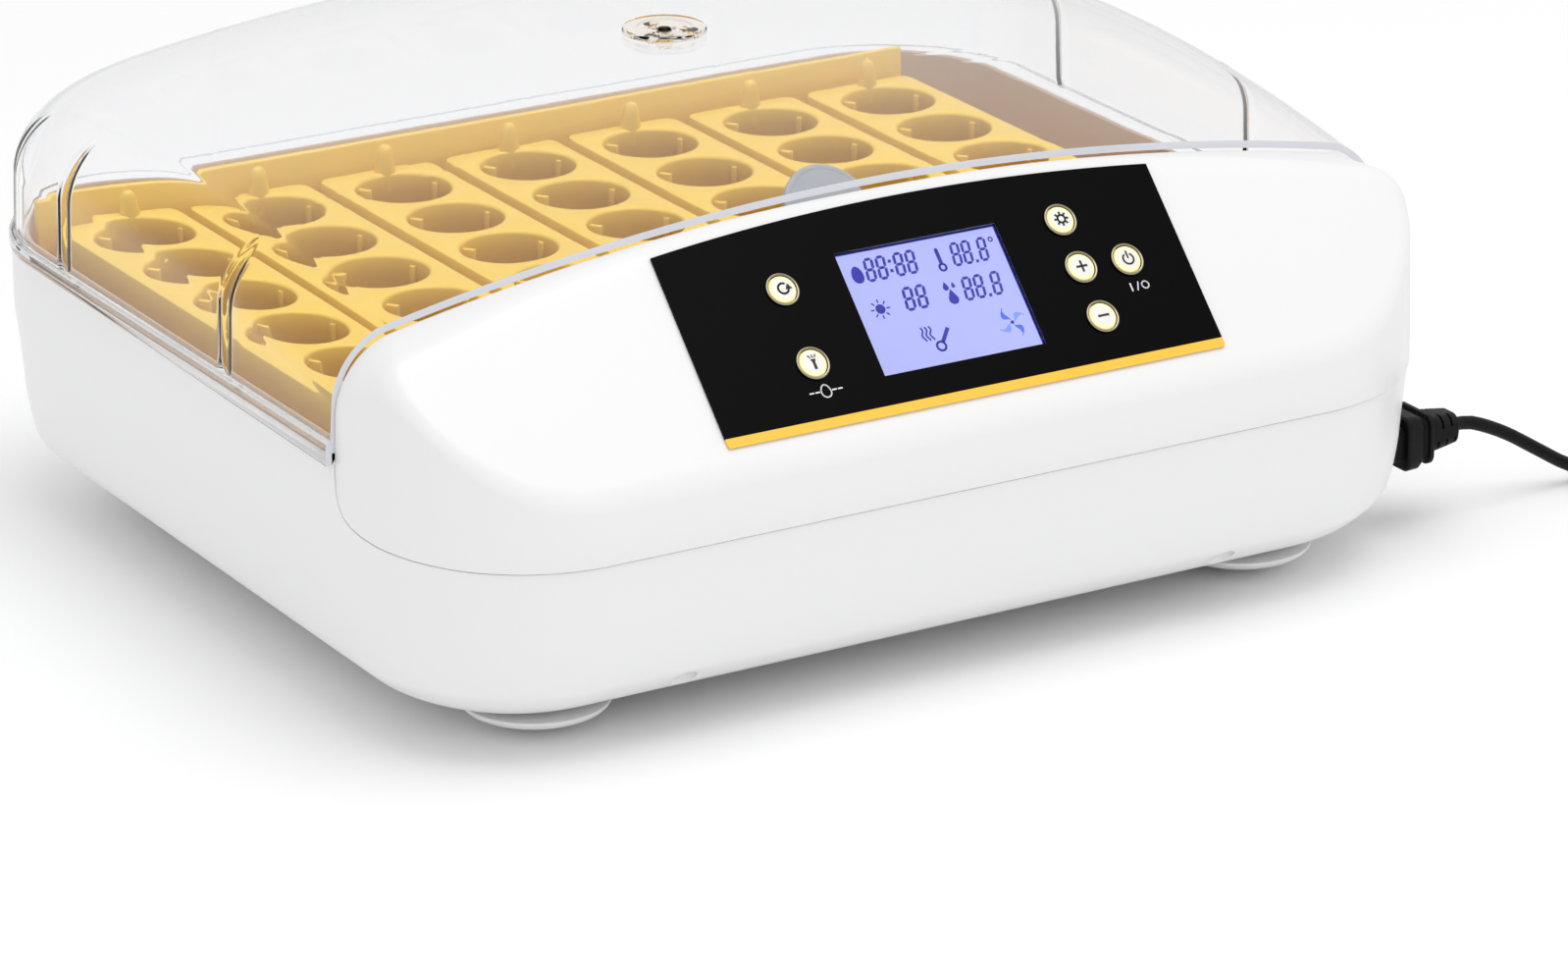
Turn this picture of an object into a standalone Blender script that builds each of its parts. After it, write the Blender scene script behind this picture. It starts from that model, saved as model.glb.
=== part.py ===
"""Tabletop egg incubator: a two-part white housing, a clear lift-off lid, a sliding egg tray with
seven rows of six cells, a control console with six buttons, and a mains lead with its plugs.

Metres, +Z up, the table at z = 0.  +X runs along the console, -Y is the front.
"""
import math

import bmesh
import bpy
from mathutils import Matrix, Vector

MM = 0.001
GAP = 0.3 * MM
MERGE = 0.002 * MM            # distance under which points left by a boolean are one point

# ---- driving dimensions -------------------------------------------------------------------
DEPTH = 443 * MM              # console front to lid flange back
FRONT = -DEPTH / 2
BACK = DEPTH / 2
SPLIT = -140 * MM             # plane between the console and the lid
BODY_HALF = 250.5 * MM        # half width of the housing
BODY_HALF_BACK = 247 * MM
BODY_BACK = BACK - 8.5 * MM
BODY_CORNER_FRONT = 65 * MM
BODY_CORNER_BACK = 52 * MM
WALL = 3 * MM
BASE_BOTTOM = 8 * MM
BASE_RIM = 121 * MM

LID_HALF = 251.5 * MM
LID_CORNER = 56 * MM
LID_WALL = 3.2 * MM
FLANGE = 6 * MM
FLANGE_BOTTOM = 123.6 * MM
FLANGE_TOP = 128.5 * MM
LID_CROWN = 213 * MM
LID_CROWN_Y = 35.5 * MM
ARCH_RADIUS = 1100 * MM
SHOULDER = 25 * MM
VENT_Y = 32.4 * MM

CONSOLE_CROWN = 195.4 * MM
SLOPE = math.radians(45.25)
SLOPE_TOP = Vector((0, -139.8 * MM, 194.2 * MM))
CONSOLE_WALL = 2.5 * MM

ROW_PITCH = 62 * MM
ROW_WIDTH = 56 * MM
ROW_COUNT = 7
TRAY_X = -13.4 * MM           # middle row, with the tray at its left stop
CELL_PITCH = 47.7 * MM
CELL_COUNT = 6
CELL_BACK_Y = 130.5 * MM
CELL_HOLE = 21 * MM
ROW_TOP = 128.2 * MM
ROW_BOTTOM = 92.5 * MM

FLOOR_TOP = 87.6 * MM
FLOOR_THICKNESS = 3.4 * MM
FLOOR_SLOTS = (-160, -110, -35, 35, 110, 160)
FLOOR_SLOT_WIDTH = 12 * MM
CHANNEL_WALL_X = 70 * MM
LINER_FLOOR = 52 * MM
LINER_HALF = 243.5 * MM

PINION_RADIUS = 10 * MM
PINION_TEETH = 20
PINION_X = -20 * MM
PINION_Z = 70 * MM
PINION_Y = -123 * MM

PANEL_X = 6 * MM              # middle of the fascia and its display
BUTTON_RADIUS = 6 * MM
BUTTONS = {                   # across from the housing's middle, down the slope
    "reset": (-61.8, 39.8),
    "candler": (-61.9, 73.7),
    "set": (73.9, 33.1),
    "plus": (74.0, 55.5),
    "minus": (74.2, 78.7),
    "power": (96.4, 56.1),
}

FOOT_X = 171 * MM
FOOT_FRONT_Y = -157 * MM
FOOT_BACK_Y = 150 * MM
SCREW_X = 129.5 * MM
SCREW_FRONT_Y = -205 * MM
SCREW_BACK_Y = 192 * MM
BOSS_RADIUS = 8 * MM
BOSS_TOP = 46 * MM
SCREW_SEAT = 30 * MM

FAN_X = 150 * MM
FAN_Y = -157 * MM
FAN_Z = 144 * MM

INLET_Y = -154.5 * MM
INLET_Z = 40 * MM
INLET_X = 238 * MM
CORD_DIAMETER = 6 * MM


# ---- scene and materials ------------------------------------------------------------------
def clear_scene():
    for item in list(bpy.data.objects):
        bpy.data.objects.remove(item, do_unlink=True)


def material(name, color, roughness, metallic=0.0, alpha=1.0):
    item = bpy.data.materials.new(name)
    item.use_nodes = True
    shader = item.node_tree.nodes["Principled BSDF"]
    shader.inputs["Base Color"].default_value = (*color, 1.0)
    shader.inputs["Roughness"].default_value = roughness
    shader.inputs["Metallic"].default_value = metallic
    shader.inputs["Alpha"].default_value = alpha
    return item


# ---- mesh helpers -------------------------------------------------------------------------
def add_object(name, mesh, finish=None, smooth=True):
    item = bpy.data.objects.new(name, mesh)
    bpy.context.scene.collection.objects.link(item)
    if finish is not None:
        mesh.materials.clear()
        mesh.materials.append(finish)
    if smooth:
        mesh.shade_smooth()
        mesh.set_sharp_from_angle(angle=math.radians(32))
    return item


def mesh_from_faces(name, points, faces):
    """A mesh whose faces all point outwards."""
    mesh = bpy.data.meshes.new(name)
    mesh.from_pydata([tuple(p) for p in points], [], faces)
    work = bmesh.new()
    work.from_mesh(mesh)
    bmesh.ops.remove_doubles(work, verts=work.verts, dist=1e-7)
    bmesh.ops.recalc_face_normals(work, faces=work.faces)
    work.to_mesh(mesh)
    work.free()
    return mesh


def loft(name, rings, finish=None):
    """Closed solid through rings of equal count, with a flat face at each end."""
    count = len(rings[0])
    points = [p for ring in rings for p in ring]
    faces = [tuple(range(count)), tuple(range(len(points) - count, len(points)))]
    for level in range(len(rings) - 1):
        low, high = level * count, (level + 1) * count
        for i in range(count):
            j = (i + 1) % count
            faces.append((low + i, low + j, high + j, high + i))
    return add_object(name, mesh_from_faces(name, points, faces), finish)


def box(name, low, high, finish=None):
    mesh = bpy.data.meshes.new(name)
    work = bmesh.new()
    bmesh.ops.create_cube(work, size=1.0)
    low, high = Vector(low), Vector(high)
    for vert in work.verts:
        vert.co = Vector((low[k] + (vert.co[k] + 0.5) * (high[k] - low[k]) for k in range(3)))
    work.to_mesh(mesh)
    work.free()
    return add_object(name, mesh, finish, smooth=False)


def turned(name, profile, segments, finish=None, axis="Z", centre=(0, 0, 0)):
    """Solid of revolution from (radius, height) pairs; radius 0 at an end closes it."""
    points, faces, loops = [], [], []
    for radius, height in profile:
        if radius == 0:
            loops.append([len(points)])
            points.append(Vector((0, 0, height)))
            continue
        loop = []
        for i in range(segments):
            angle = 2 * math.pi * i / segments
            loop.append(len(points))
            points.append(Vector((radius * math.cos(angle), radius * math.sin(angle), height)))
        loops.append(loop)
    pairs = list(zip(loops, loops[1:]))
    if profile[0][0] and profile[-1][0]:
        pairs.append((loops[-1], loops[0]))
    for one, two in pairs:
        for i in range(segments):
            j = (i + 1) % segments
            if len(one) == 1:
                faces.append((one[0], two[j], two[i]))
            elif len(two) == 1:
                faces.append((one[i], one[j], two[0]))
            else:
                faces.append((one[i], one[j], two[j], two[i]))
    turn = {"Z": Matrix.Identity(3), "Y": Matrix.Rotation(-math.pi / 2, 3, "X"),
            "X": Matrix.Rotation(math.pi / 2, 3, "Y")}[axis]
    points = [turn @ p + Vector(centre) for p in points]
    return add_object(name, mesh_from_faces(name, points, faces), finish)


def cylinder(name, centre, radius, length, axis="Z", segments=16, finish=None):
    """Cylinder starting at its centre point and running along +axis."""
    profile = [(0, 0), (radius, 0), (radius, length), (0, length)]
    return turned(name, profile, segments, finish, axis, centre)


def combine(target, tool, operation):
    """Exact boolean of two closed solids; the tool is used up."""
    step = target.modifiers.new("combine", "BOOLEAN")
    step.operation = operation
    step.solver = "EXACT"
    step.object = tool
    bpy.context.view_layer.update()
    graph = bpy.context.evaluated_depsgraph_get()
    result = bpy.data.meshes.new_from_object(target.evaluated_get(graph))
    target.modifiers.remove(step)
    old = target.data
    target.data = result
    result.name = target.name
    bpy.data.meshes.remove(old)
    bpy.data.objects.remove(tool, do_unlink=True)
    work = bmesh.new()
    work.from_mesh(result)
    bmesh.ops.remove_doubles(work, verts=work.verts, dist=MERGE)
    bmesh.ops.dissolve_degenerate(work, edges=work.edges, dist=MERGE)
    work.to_mesh(result)
    work.free()
    result.shade_smooth()
    result.set_sharp_from_angle(angle=math.radians(32))


def cut(target, tool):
    combine(target, tool, "DIFFERENCE")


def join(target, tool):
    combine(target, tool, "UNION")


def set_origin(item, point):
    """Move an object's origin to a point without moving its shape."""
    point = Vector(point)
    item.data.transform(Matrix.Translation(item.location - point))
    item.location = point


# ---- outlines -----------------------------------------------------------------------------
def mirrored(half):
    """Full path from its right half, which ends on x = 0."""
    return half + [(-x, y) for x, y in reversed(half[:-1])]


def loop_path(half, half_back, front, back, corner_front, corner_back, inset=0.0):
    """Rounded rectangle, 40 points, starting at its front middle."""
    def width(y):
        t = min(max((y - SPLIT) / (BODY_BACK - SPLIT), 0), 1)
        return half + (half_back - half) * t - inset

    points = []
    centre_x, centre_y = half - corner_front, front + corner_front
    radius = corner_front - inset
    for i in range(2):
        points.append((centre_x * i / 2, front + inset))
    for i in range(7):
        angle = math.pi / 2 * i / 6
        points.append((centre_x + radius * math.sin(angle), centre_y - radius * math.cos(angle)))
    centre_x, centre_y = half_back - corner_back, back - corner_back
    start = front + corner_front
    for i in range(1, 4):
        y = start + (centre_y - start) * i / 4
        points.append((width(y), y))
    radius = corner_back - inset
    for i in range(7):
        angle = math.pi / 2 * i / 6
        points.append((centre_x + radius * math.cos(angle), centre_y + radius * math.sin(angle)))
    for i in range(1, -1, -1):
        points.append((centre_x * i / 2, back - inset))
    return points + [(-x, y) for x, y in reversed(points[1:-1])]


def body_ring(z, inset):
    front, back = (max(corner, inset + 4 * MM) for corner in (BODY_CORNER_FRONT, BODY_CORNER_BACK))
    path = loop_path(BODY_HALF, BODY_HALF_BACK, FRONT, BODY_BACK, front, back, inset)
    return [Vector((x, y, z)) for x, y in path]


def open_path(half, start, end, corner, insets, side_steps, arc_steps, end_steps):
    """U-shaped path from (half, start) round to (-half, start); insets follow its points."""
    toward = 1 if end > start else -1
    centre = (half - corner, end - toward * corner)
    points = []
    for i in range(side_steps):
        t = i / side_steps
        points.append((half - insets[i], start + (centre[1] - start) * t))
    for i in range(arc_steps + 1):
        angle = math.pi / 2 * i / arc_steps
        radius = corner - insets[side_steps + i]
        points.append((centre[0] + radius * math.cos(angle), centre[1] + toward * radius * math.sin(angle)))
    for i in range(1, end_steps + 1):
        inset = insets[side_steps + arc_steps + i]
        points.append((centre[0] * (1 - i / end_steps), end - toward * inset))
    return mirrored(points)


class Dome:
    """Arched cover over a U-shaped outline: straight walls, a rounded shoulder and a crown."""

    def __init__(self, half, start, end, corner, top, steps):
        self.half, self.start, self.end, self.corner = half, start, end, corner
        self.top, self.steps = top, steps
        self.count = sum(steps) + 1

    def ring(self, inset, height=None, radius=None, turn=0.0):
        """One ring of the cover.  With a radius it lies on the shoulder, turned from the wall."""
        if radius is None:
            path = open_path(self.half, self.start, self.end, self.corner,
                             [inset] * self.count, *self.steps)
            if callable(height):
                return [Vector((x, y, height(x, y))) for x, y in path]
            return [Vector((x, y, height)) for x, y in path]
        base = open_path(self.half, self.start, self.end, self.corner,
                         [inset] * self.count, *self.steps)[:self.count]
        radii = [radius(y) for x, y in base]
        insets = [inset + r * (1 - math.cos(turn)) for r in radii]
        path = open_path(self.half, self.start, self.end, self.corner, insets, *self.steps)
        radii = radii + radii[-2::-1]
        rise = 1 - math.sin(turn)
        return [Vector((x, y, self.top(x, y) - r * rise)) for (x, y), r in zip(path, radii)]

    def skin(self, rings):
        """Points and faces of the rings and of the crown that closes the last one."""
        total = len(rings[0])
        points = [p for ring in rings for p in ring]
        faces = []
        for level in range(len(rings) - 1):
            low, high = level * total, (level + 1) * total
            for i in range(total - 1):
                faces.append((low + i, low + i + 1, high + i + 1, high + i))
        last = (len(rings) - 1) * total
        side, arc, end = self.steps
        rows, columns = side + arc // 2, total - 1 - 2 * (side + arc // 2)
        grid = {}
        for j in range(rows + 1):
            grid[0, j] = last + j
            grid[columns, j] = last + total - 1 - j
        for i in range(1, columns):
            grid[i, rows] = last + rows + i
        right, left = points[grid[0, 0]], points[grid[columns, 0]]
        for i in range(1, columns):
            for j in range(rows):
                u, v = i / columns, j / rows
                low = right.lerp(left, u)
                high = points[grid[i, rows]]
                one, two = points[grid[0, j]], points[grid[columns, j]]
                far = points[grid[0, rows]].lerp(points[grid[columns, rows]], u)
                flat = low.lerp(far, v)
                spot = low.lerp(high, v) + one.lerp(two, u) - flat
                grid[i, j] = len(points)
                points.append(Vector((spot.x, spot.y, self.top(spot.x, spot.y))))
        for i in range(columns):
            for j in range(rows):
                faces.append((grid[i, j], grid[i + 1, j], grid[i + 1, j + 1], grid[i, j + 1]))
        front = [level * total for level in range(len(rings))]
        front += [grid[i, 0] for i in range(1, columns)]
        front += [level * total + total - 1 for level in reversed(range(len(rings)))]
        return points, faces, front

    def solid(self, name, rings, finish=None):
        """The cover as a filled solid, closed at the bottom and at the open end."""
        points, faces, front = self.skin(rings)
        faces.append(tuple(front))
        faces.append(tuple(range(len(rings[0]))))
        return add_object(name, mesh_from_faces(name, points, faces), finish)


def shell(name, outer, inner, finish):
    """Closed thin cover from two skins of equal layout."""
    points, faces, front = outer
    inner_points, inner_faces, _ = inner
    shift = len(points)
    faces = faces + [tuple(shift + i for i in reversed(face)) for face in inner_faces]
    edges = {}
    for face in outer[1]:
        for a, b in zip(face, face[1:] + face[:1]):
            key = (min(a, b), max(a, b))
            edges[key] = edges.get(key, 0) + 1
    for (a, b), uses in edges.items():
        if uses == 1:
            faces.append((a, b, b + shift, a + shift))
    return add_object(name, mesh_from_faces(name, points + inner_points, faces), finish)


# ---- surfaces of the covers ---------------------------------------------------------------
def lid_top(x, y):
    reach = 175 * MM if y < LID_CROWN_Y else 190 * MM
    return LID_CROWN - 16.5 * MM * ((y - LID_CROWN_Y) / reach) ** 2 - x * x / (2 * ARCH_RADIUS)


def console_top(x, y):
    """Arch of the console cut by its sloping face, blended over a few millimetres."""
    arch = CONSOLE_CROWN - x * x / (2 * ARCH_RADIUS)
    slope = SLOPE_TOP.z + (y - SLOPE_TOP.y) * math.tan(SLOPE)
    blend = 10 * MM
    near = max(blend - abs(arch - slope), 0)
    return min(arch, slope) - near * near / (4 * blend)


def console_radius(y):
    t = min(max((SPLIT - y) / (50 * MM), 0), 1)
    return SHOULDER - 17 * MM * t * t * (3 - 2 * t)


# ---- housing ------------------------------------------------------------------------------
BEYOND = 300                  # mm, past every side of the housing
SEAM = [                      # parting line of base and console seen from the side: y, z in mm
    (-221, 87), (-182, 90), (-158, 94), (-146, 99), (-140.6, 108)]


def seam_cutter(outline):
    """Block across the whole width with a side outline given in mm."""
    return loft("seam", [[Vector((x * MM, y * MM, z * MM)) for y, z in outline]
                         for x in (-BEYOND, BEYOND)])


BASE_PROFILE = [  # height and inset of the outer wall, bottom to top, mm
    (8, 76), (12, 46), (20, 24), (30, 11.5), (48, 4.5), (93, 0), (121, 0)]


def base_solid(name, offset, top):
    rings = []
    for z, inset in BASE_PROFILE[:-1]:
        rings.append(body_ring((z * MM) + offset, inset * MM + offset))
    rings.append(body_ring(top, offset))
    return loft(name, rings)


def build_base(finish):
    hollow = base_solid("base_hollow", WALL, BASE_RIM + 10 * MM)
    for x in (-SCREW_X, SCREW_X):
        for y in (SCREW_FRONT_Y, SCREW_BACK_Y):
            cut(hollow, cylinder("boss", (x, y, 0), BOSS_RADIUS, BOSS_TOP))
    for x in (75 * MM, 185 * MM):
        cut(hollow, cylinder("post", (x, -165 * MM, 0), 4 * MM, 34 * MM, segments=16))
    base = base_solid("base_shell", 0, BASE_RIM)
    cut(base, hollow)
    above = [(-BEYOND, 240), (-BEYOND, SEAM[0][1])] + SEAM + [(-139.6, 118), (-139.6, 240)]
    cut(base, seam_cutter(above))
    reach = 16 * MM
    cut(base, box("inlet_hole", (INLET_X - 20 * MM, INLET_Y - reach, INLET_Z - 12 * MM),
                  (BEYOND * MM, INLET_Y + reach, INLET_Z + 12 * MM)))
    for x in (-SCREW_X, SCREW_X):
        for y in (SCREW_FRONT_Y, SCREW_BACK_Y):
            cut(base, cylinder("notch", (x, y, 0), 5.5 * MM, SCREW_SEAT + 3 * MM))
            cut(base, cylinder("bore", (x, y, SCREW_SEAT), 1.8 * MM, 14 * MM, segments=12))
    for x in (-FOOT_X, FOOT_X):
        for y in (FOOT_FRONT_Y, FOOT_BACK_Y):
            cut(base, cylinder("foot_seat", (x, y, 0), 31.5 * MM, 11 * MM, segments=24))
    base.data.materials.clear()
    base.data.materials.append(finish)
    return base


def build_feet(finish):
    for side, x in (("left", -FOOT_X), ("right", FOOT_X)):
        for end, y in (("front", FOOT_FRONT_Y), ("back", FOOT_BACK_Y)):
            profile = [(0, 0), (27, 0), (30, 2.5), (31, 10.7), (0, 10.7)]
            turned(f"foot_{end}_{side}", [(r * MM, z * MM) for r, z in profile], 24, finish,
                   centre=(x, y, 0))


def build_screws(finish):
    for side, x in (("left", -SCREW_X), ("right", SCREW_X)):
        for end, y in (("front", SCREW_FRONT_Y), ("back", SCREW_BACK_Y)):
            profile = [(0, 0), (2.6, 0), (3.8, 1), (3.8, 2.6), (1.5, 2.6), (1.5, 12.5), (0, 13.5)]
            turned(f"case_screw_{end}_{side}", [(r * MM, z * MM) for r, z in profile], 12, finish,
                   centre=(x, y, SCREW_SEAT))


def liner_ring(z, half, front, back, corner_front, corner_back):
    path = loop_path(half, half - 2.5 * MM, front, back, corner_front, corner_back)
    return [Vector((x, y, z)) for x, y in path]


def build_liner(finish):
    """Tub of the egg chamber: water floor, walls, sealing lip and the rim that the lid rests on."""
    f, b = SPLIT, BODY_BACK
    spec = [  # height, half width, front, back, front corner, back corner
        (50, 234, 4, -13, 12, 42), (54, 238, 2, -9, 12, 46), (121.3, 245.5, 1.6, -3.5, 12, 50),
        (121.3, 249.5, 0.4, -0.5, 12, 52), (123.3, 249.5, 0.4, -0.5, 12, 52),
        (123.3, 245.7, 1.8, -3.5, 12, 50), (127, 245.7, 1.8, -3.5, 12, 50),
        (127, 243.5, 3.8, -5.7, 10, 48), (58, 238, 4, -9, 10, 44), (52, 234, 8, -13, 10, 40)]
    rings = [liner_ring(z * MM, half * MM, f + fr * MM, b + bk * MM, cf * MM, cb * MM)
             for z, half, fr, bk, cf, cb in spec]
    liner = loft("chamber_liner", rings, finish)
    cut(liner, cylinder("shaft_hole", (PINION_X, SPLIT - 5 * MM, PINION_Z), 3.6 * MM, 15 * MM, "Y"))
    return liner


# ---- egg tray -----------------------------------------------------------------------------
def row_centre(index):
    return TRAY_X + (index - (ROW_COUNT - 1) / 2) * ROW_PITCH


ROW_BACK = CELL_BACK_Y + 29 * MM
ROW_FRONT = CELL_BACK_Y - (CELL_COUNT - 1) * CELL_PITCH - CELL_PITCH / 2


def build_row(name, finish):
    """One strip of six cells with octagonal openings and a finger peg at the back."""
    half = ROW_WIDTH / 2
    skin = 2.2 * MM
    row = box(name, (-half, ROW_FRONT, ROW_BOTTOM), (half, ROW_BACK, ROW_TOP), finish)
    for i in range(CELL_COUNT):
        y = CELL_BACK_Y - i * CELL_PITCH
        reach = CELL_PITCH / 2 - skin
        cut(row, box("cell", (-half + skin, y - reach, ROW_BOTTOM - 5 * MM),
                     (half - skin, y + reach, ROW_TOP - 2.5 * MM)))
        ring = []
        for k in range(8):
            angle = math.pi / 8 + k * math.pi / 4
            ring.append((CELL_HOLE / math.cos(math.pi / 8) * math.cos(angle),
                         y + (CELL_HOLE - 0.8 * MM) / math.cos(math.pi / 8) * math.sin(angle)))
        rings = [[Vector((x, v, z)) for x, v in ring] for z in (ROW_TOP - 8 * MM, ROW_TOP + 5 * MM)]
        cut(row, loft("opening", rings))
    peg_x = 4 * MM
    join(row, box("peg", (peg_x - 3.5 * MM, ROW_BACK - 4 * MM, ROW_TOP - 2 * MM),
                  (peg_x + 3.5 * MM, ROW_BACK - 0.2 * MM, ROW_TOP + 10 * MM)))
    row.data.materials.clear()
    row.data.materials.append(finish)
    return row


def build_tray(finish):
    first = build_row("egg_row_1", finish)
    first.location.x = row_centre(0)
    for index in range(1, ROW_COUNT):
        add_object(f"egg_row_{index + 1}", first.data, smooth=False).location.x = row_centre(index)
    rail = 3.3 * MM
    left = row_centre(0) - ROW_WIDTH / 2 - GAP
    right = row_centre(ROW_COUNT - 1) + ROW_WIDTH / 2 + GAP
    front, back = ROW_FRONT - GAP, ROW_BACK + 10.5 * MM
    frame = box("tray_frame", (left - rail, front - rail, FLOOR_TOP + 0.4 * MM),
                (right + rail, back + rail, ROW_TOP + 9.5 * MM), finish)
    cut(frame, box("pocket", (left, front, ROW_BOTTOM - GAP), (right, back, ROW_TOP + 30 * MM)))
    ledge = 5 * MM
    cut(frame, box("window", (left + ledge, front + ledge, 0),
                   (right - ledge, ROW_BACK - ledge, ROW_TOP)))
    cut(frame, box("low_sides", (left - 10 * MM, front - 10 * MM, ROW_TOP - 14 * MM),
                   (right + 10 * MM, back, ROW_TOP + 30 * MM)))
    return frame


def build_floor(finish):
    """Slotted floor that the eggs roll on."""
    inset = 5.5 * MM
    rings = []
    for z in (FLOOR_TOP - FLOOR_THICKNESS, FLOOR_TOP):
        half = LINER_HALF - inset
        path = loop_path(half, half - 2.5 * MM, SPLIT + 6 * MM, BODY_BACK - 10 * MM, 8 * MM, 44 * MM)
        rings.append([Vector((x, y, z)) for x, y in path])
    floor = loft("floor_grid", rings, finish)
    for x in FLOOR_SLOTS:
        low = x * MM - FLOOR_SLOT_WIDTH / 2
        cut(floor, box("slot", (low, -85 * MM, 0), (low + FLOOR_SLOT_WIDTH, 150 * MM, 1)))
    cut(floor, box("rack_slot", (PINION_X - 50 * MM, PINION_Y - 6 * MM, 0),
                   (PINION_X + 50 * MM, PINION_Y + 6 * MM, 1)))
    return floor


def build_channel_walls(finish):
    """Two long walls that part the water channels and carry the egg floor."""
    for side, x in (("left", -CHANNEL_WALL_X), ("right", CHANNEL_WALL_X)):
        box(f"channel_wall_{side}", (x - 2.5 * MM, -112 * MM, LINER_FLOOR + GAP),
            (x + 2.5 * MM, 185 * MM, FLOOR_TOP - FLOOR_THICKNESS - GAP), finish)


def build_rack(finish):
    """Toothed bar under the tray, with its teeth down on the pinion."""
    pitch = 2 * math.pi * PINION_RADIUS / PINION_TEETH
    pitch_line = PINION_Z + PINION_RADIUS
    top = FLOOR_TOP + 0.4 * MM - GAP
    start, teeth = PINION_X - 15 * pitch, 19
    outline = [(start, top)]
    for i in range(teeth):
        x = start + i * pitch
        outline += [(x, pitch_line + 1.3 * MM), (x + 0.32 * pitch, pitch_line + 1.3 * MM),
                    (x + 0.44 * pitch, pitch_line - 0.8 * MM), (x + 0.56 * pitch, pitch_line - 0.8 * MM),
                    (x + 0.68 * pitch, pitch_line + 1.3 * MM)]
    outline += [(start + teeth * pitch, pitch_line + 1.3 * MM), (start + teeth * pitch, top)]
    rings = [[Vector((x, y, z)) for x, z in outline] for y in (PINION_Y - 4 * MM, PINION_Y + 4 * MM)]
    return loft("tray_rack", rings, finish)


def build_drive(steel, plastic):
    """Geared motor in the front bay, its bracket, and the pinion inside the chamber."""
    pitch_angle = 2 * math.pi / PINION_TEETH
    outline = []
    for i in range(PINION_TEETH):
        for part, radius in ((-0.36, 8.6), (-0.13, 10.8), (0.13, 10.8), (0.36, 8.6)):
            angle = math.pi / 2 + (i + part) * pitch_angle
            outline.append((radius * MM * math.cos(angle), radius * MM * math.sin(angle)))
    rings = [[Vector((PINION_X + x, y, PINION_Z + z)) for x, z in outline]
             for y in (PINION_Y - 5 * MM, PINION_Y + 5 * MM)]
    pinion = loft("turn_pinion", rings, plastic)
    cut(pinion, cylinder("bore", (PINION_X, PINION_Y - 8 * MM, PINION_Z), 3 * MM + GAP, 16 * MM, "Y"))
    set_origin(pinion, (PINION_X, PINION_Y, PINION_Z))
    face = SPLIT - 2.2 * MM
    profile = [(0, -48), (17, -48), (18, -46), (18, -22), (20, -22), (20, 0), (3, 0), (3, 23), (0, 23)]
    turned("turn_motor", [(r * MM, z * MM) for r, z in profile], 20, steel, "Y",
           (PINION_X, face, PINION_Z))
    plate_back = SPLIT - 0.2 * MM
    bracket = box("motor_bracket", (PINION_X - 24 * MM, face + GAP, 16 * MM),
                  (PINION_X + 24 * MM, plate_back, 94 * MM), steel)
    join(bracket, box("foot", (PINION_X - 24 * MM, face - 20 * MM, 16 * MM),
                      (PINION_X + 24 * MM, plate_back - 0.5 * MM, 17.6 * MM)))
    cut(bracket, cylinder("shaft_hole", (PINION_X, face - 5 * MM, PINION_Z), 5 * MM, 12 * MM, "Y"))


# ---- lid ----------------------------------------------------------------------------------
LID_STEPS = (5, 8, 4)
SHOULDER_TURNS = [math.radians(a) for a in (0, 22, 45, 68, 90)]


def build_lid(finish):
    start = SPLIT + 0.4 * MM
    end = BACK - FLANGE

    outer = Dome(LID_HALF, start, end, LID_CORNER, lid_top, LID_STEPS)
    inner = Dome(LID_HALF, start, end, LID_CORNER, lambda x, y: lid_top(x, y) - LID_WALL, LID_STEPS)
    draft = 0.8 * MM
    rings = [outer.ring(-FLANGE, FLANGE_BOTTOM), outer.ring(-FLANGE, FLANGE_TOP),
             outer.ring(0, FLANGE_TOP)]
    rings += [outer.ring(draft, None, lambda y: SHOULDER, turn) for turn in SHOULDER_TURNS]
    inner_rings = [inner.ring(LID_WALL, FLANGE_BOTTOM), inner.ring(LID_WALL, FLANGE_TOP - 0.1 * MM),
                   inner.ring(LID_WALL, FLANGE_TOP)]
    inner_rings += [inner.ring(LID_WALL + draft, None, lambda y: SHOULDER - LID_WALL, turn)
                    for turn in SHOULDER_TURNS]
    lid = shell("lid", outer.skin(rings), inner.skin(inner_rings), finish)
    cut(lid, cylinder("pin_hole", (0, VENT_Y, LID_CROWN - 20 * MM), 3.4 * MM, 40 * MM))
    for k in range(3):
        angle = k * 2 * math.pi / 3 + math.pi / 2
        spot = (11 * MM * math.cos(angle), VENT_Y + 11 * MM * math.sin(angle), LID_CROWN - 20 * MM)
        cut(lid, cylinder("vent_hole", spot, 3.5 * MM, 40 * MM, segments=16))
    lid.data.materials.clear()
    lid.data.materials.append(finish)
    return lid


def build_vent_cap(finish):
    """Turning cap over the lid's three air holes, snapped in by its middle pin."""
    profile = [(0, -9), (2.5, -9), (4, -7), (4, -4), (3, -4), (3, 0.4), (18.2, 0.4), (18.2, 2),
               (17.4, 2.7), (12.4, 2.7), (11.4, 1.9), (5.5, 1.9), (4.4, 3), (0, 3)]
    cap = turned("vent_cap", [(r * MM, z * MM) for r, z in profile], 20, finish,
                 centre=(0, VENT_Y, LID_CROWN))
    for k in range(3):
        angle = k * 2 * math.pi / 3 + math.pi / 2
        spot = (8.4 * MM * math.cos(angle), VENT_Y + 8.4 * MM * math.sin(angle), LID_CROWN - 2 * MM)
        cut(cap, cylinder("air_hole", spot, 2.2 * MM, 12 * MM, segments=10))
    set_origin(cap, (0, VENT_Y, LID_CROWN))
    return cap


# ---- console ------------------------------------------------------------------------------
CONSOLE_STEPS = (3, 8, 6)


def slope_matrix():
    return Matrix.Translation(SLOPE_TOP) @ Matrix.Rotation(SLOPE, 4, "X")


def place_on_slope(item):
    """Take a shape drawn in slope coordinates (x, up the slope, out of it) into the world."""
    item.data.transform(slope_matrix())
    return item


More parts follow.
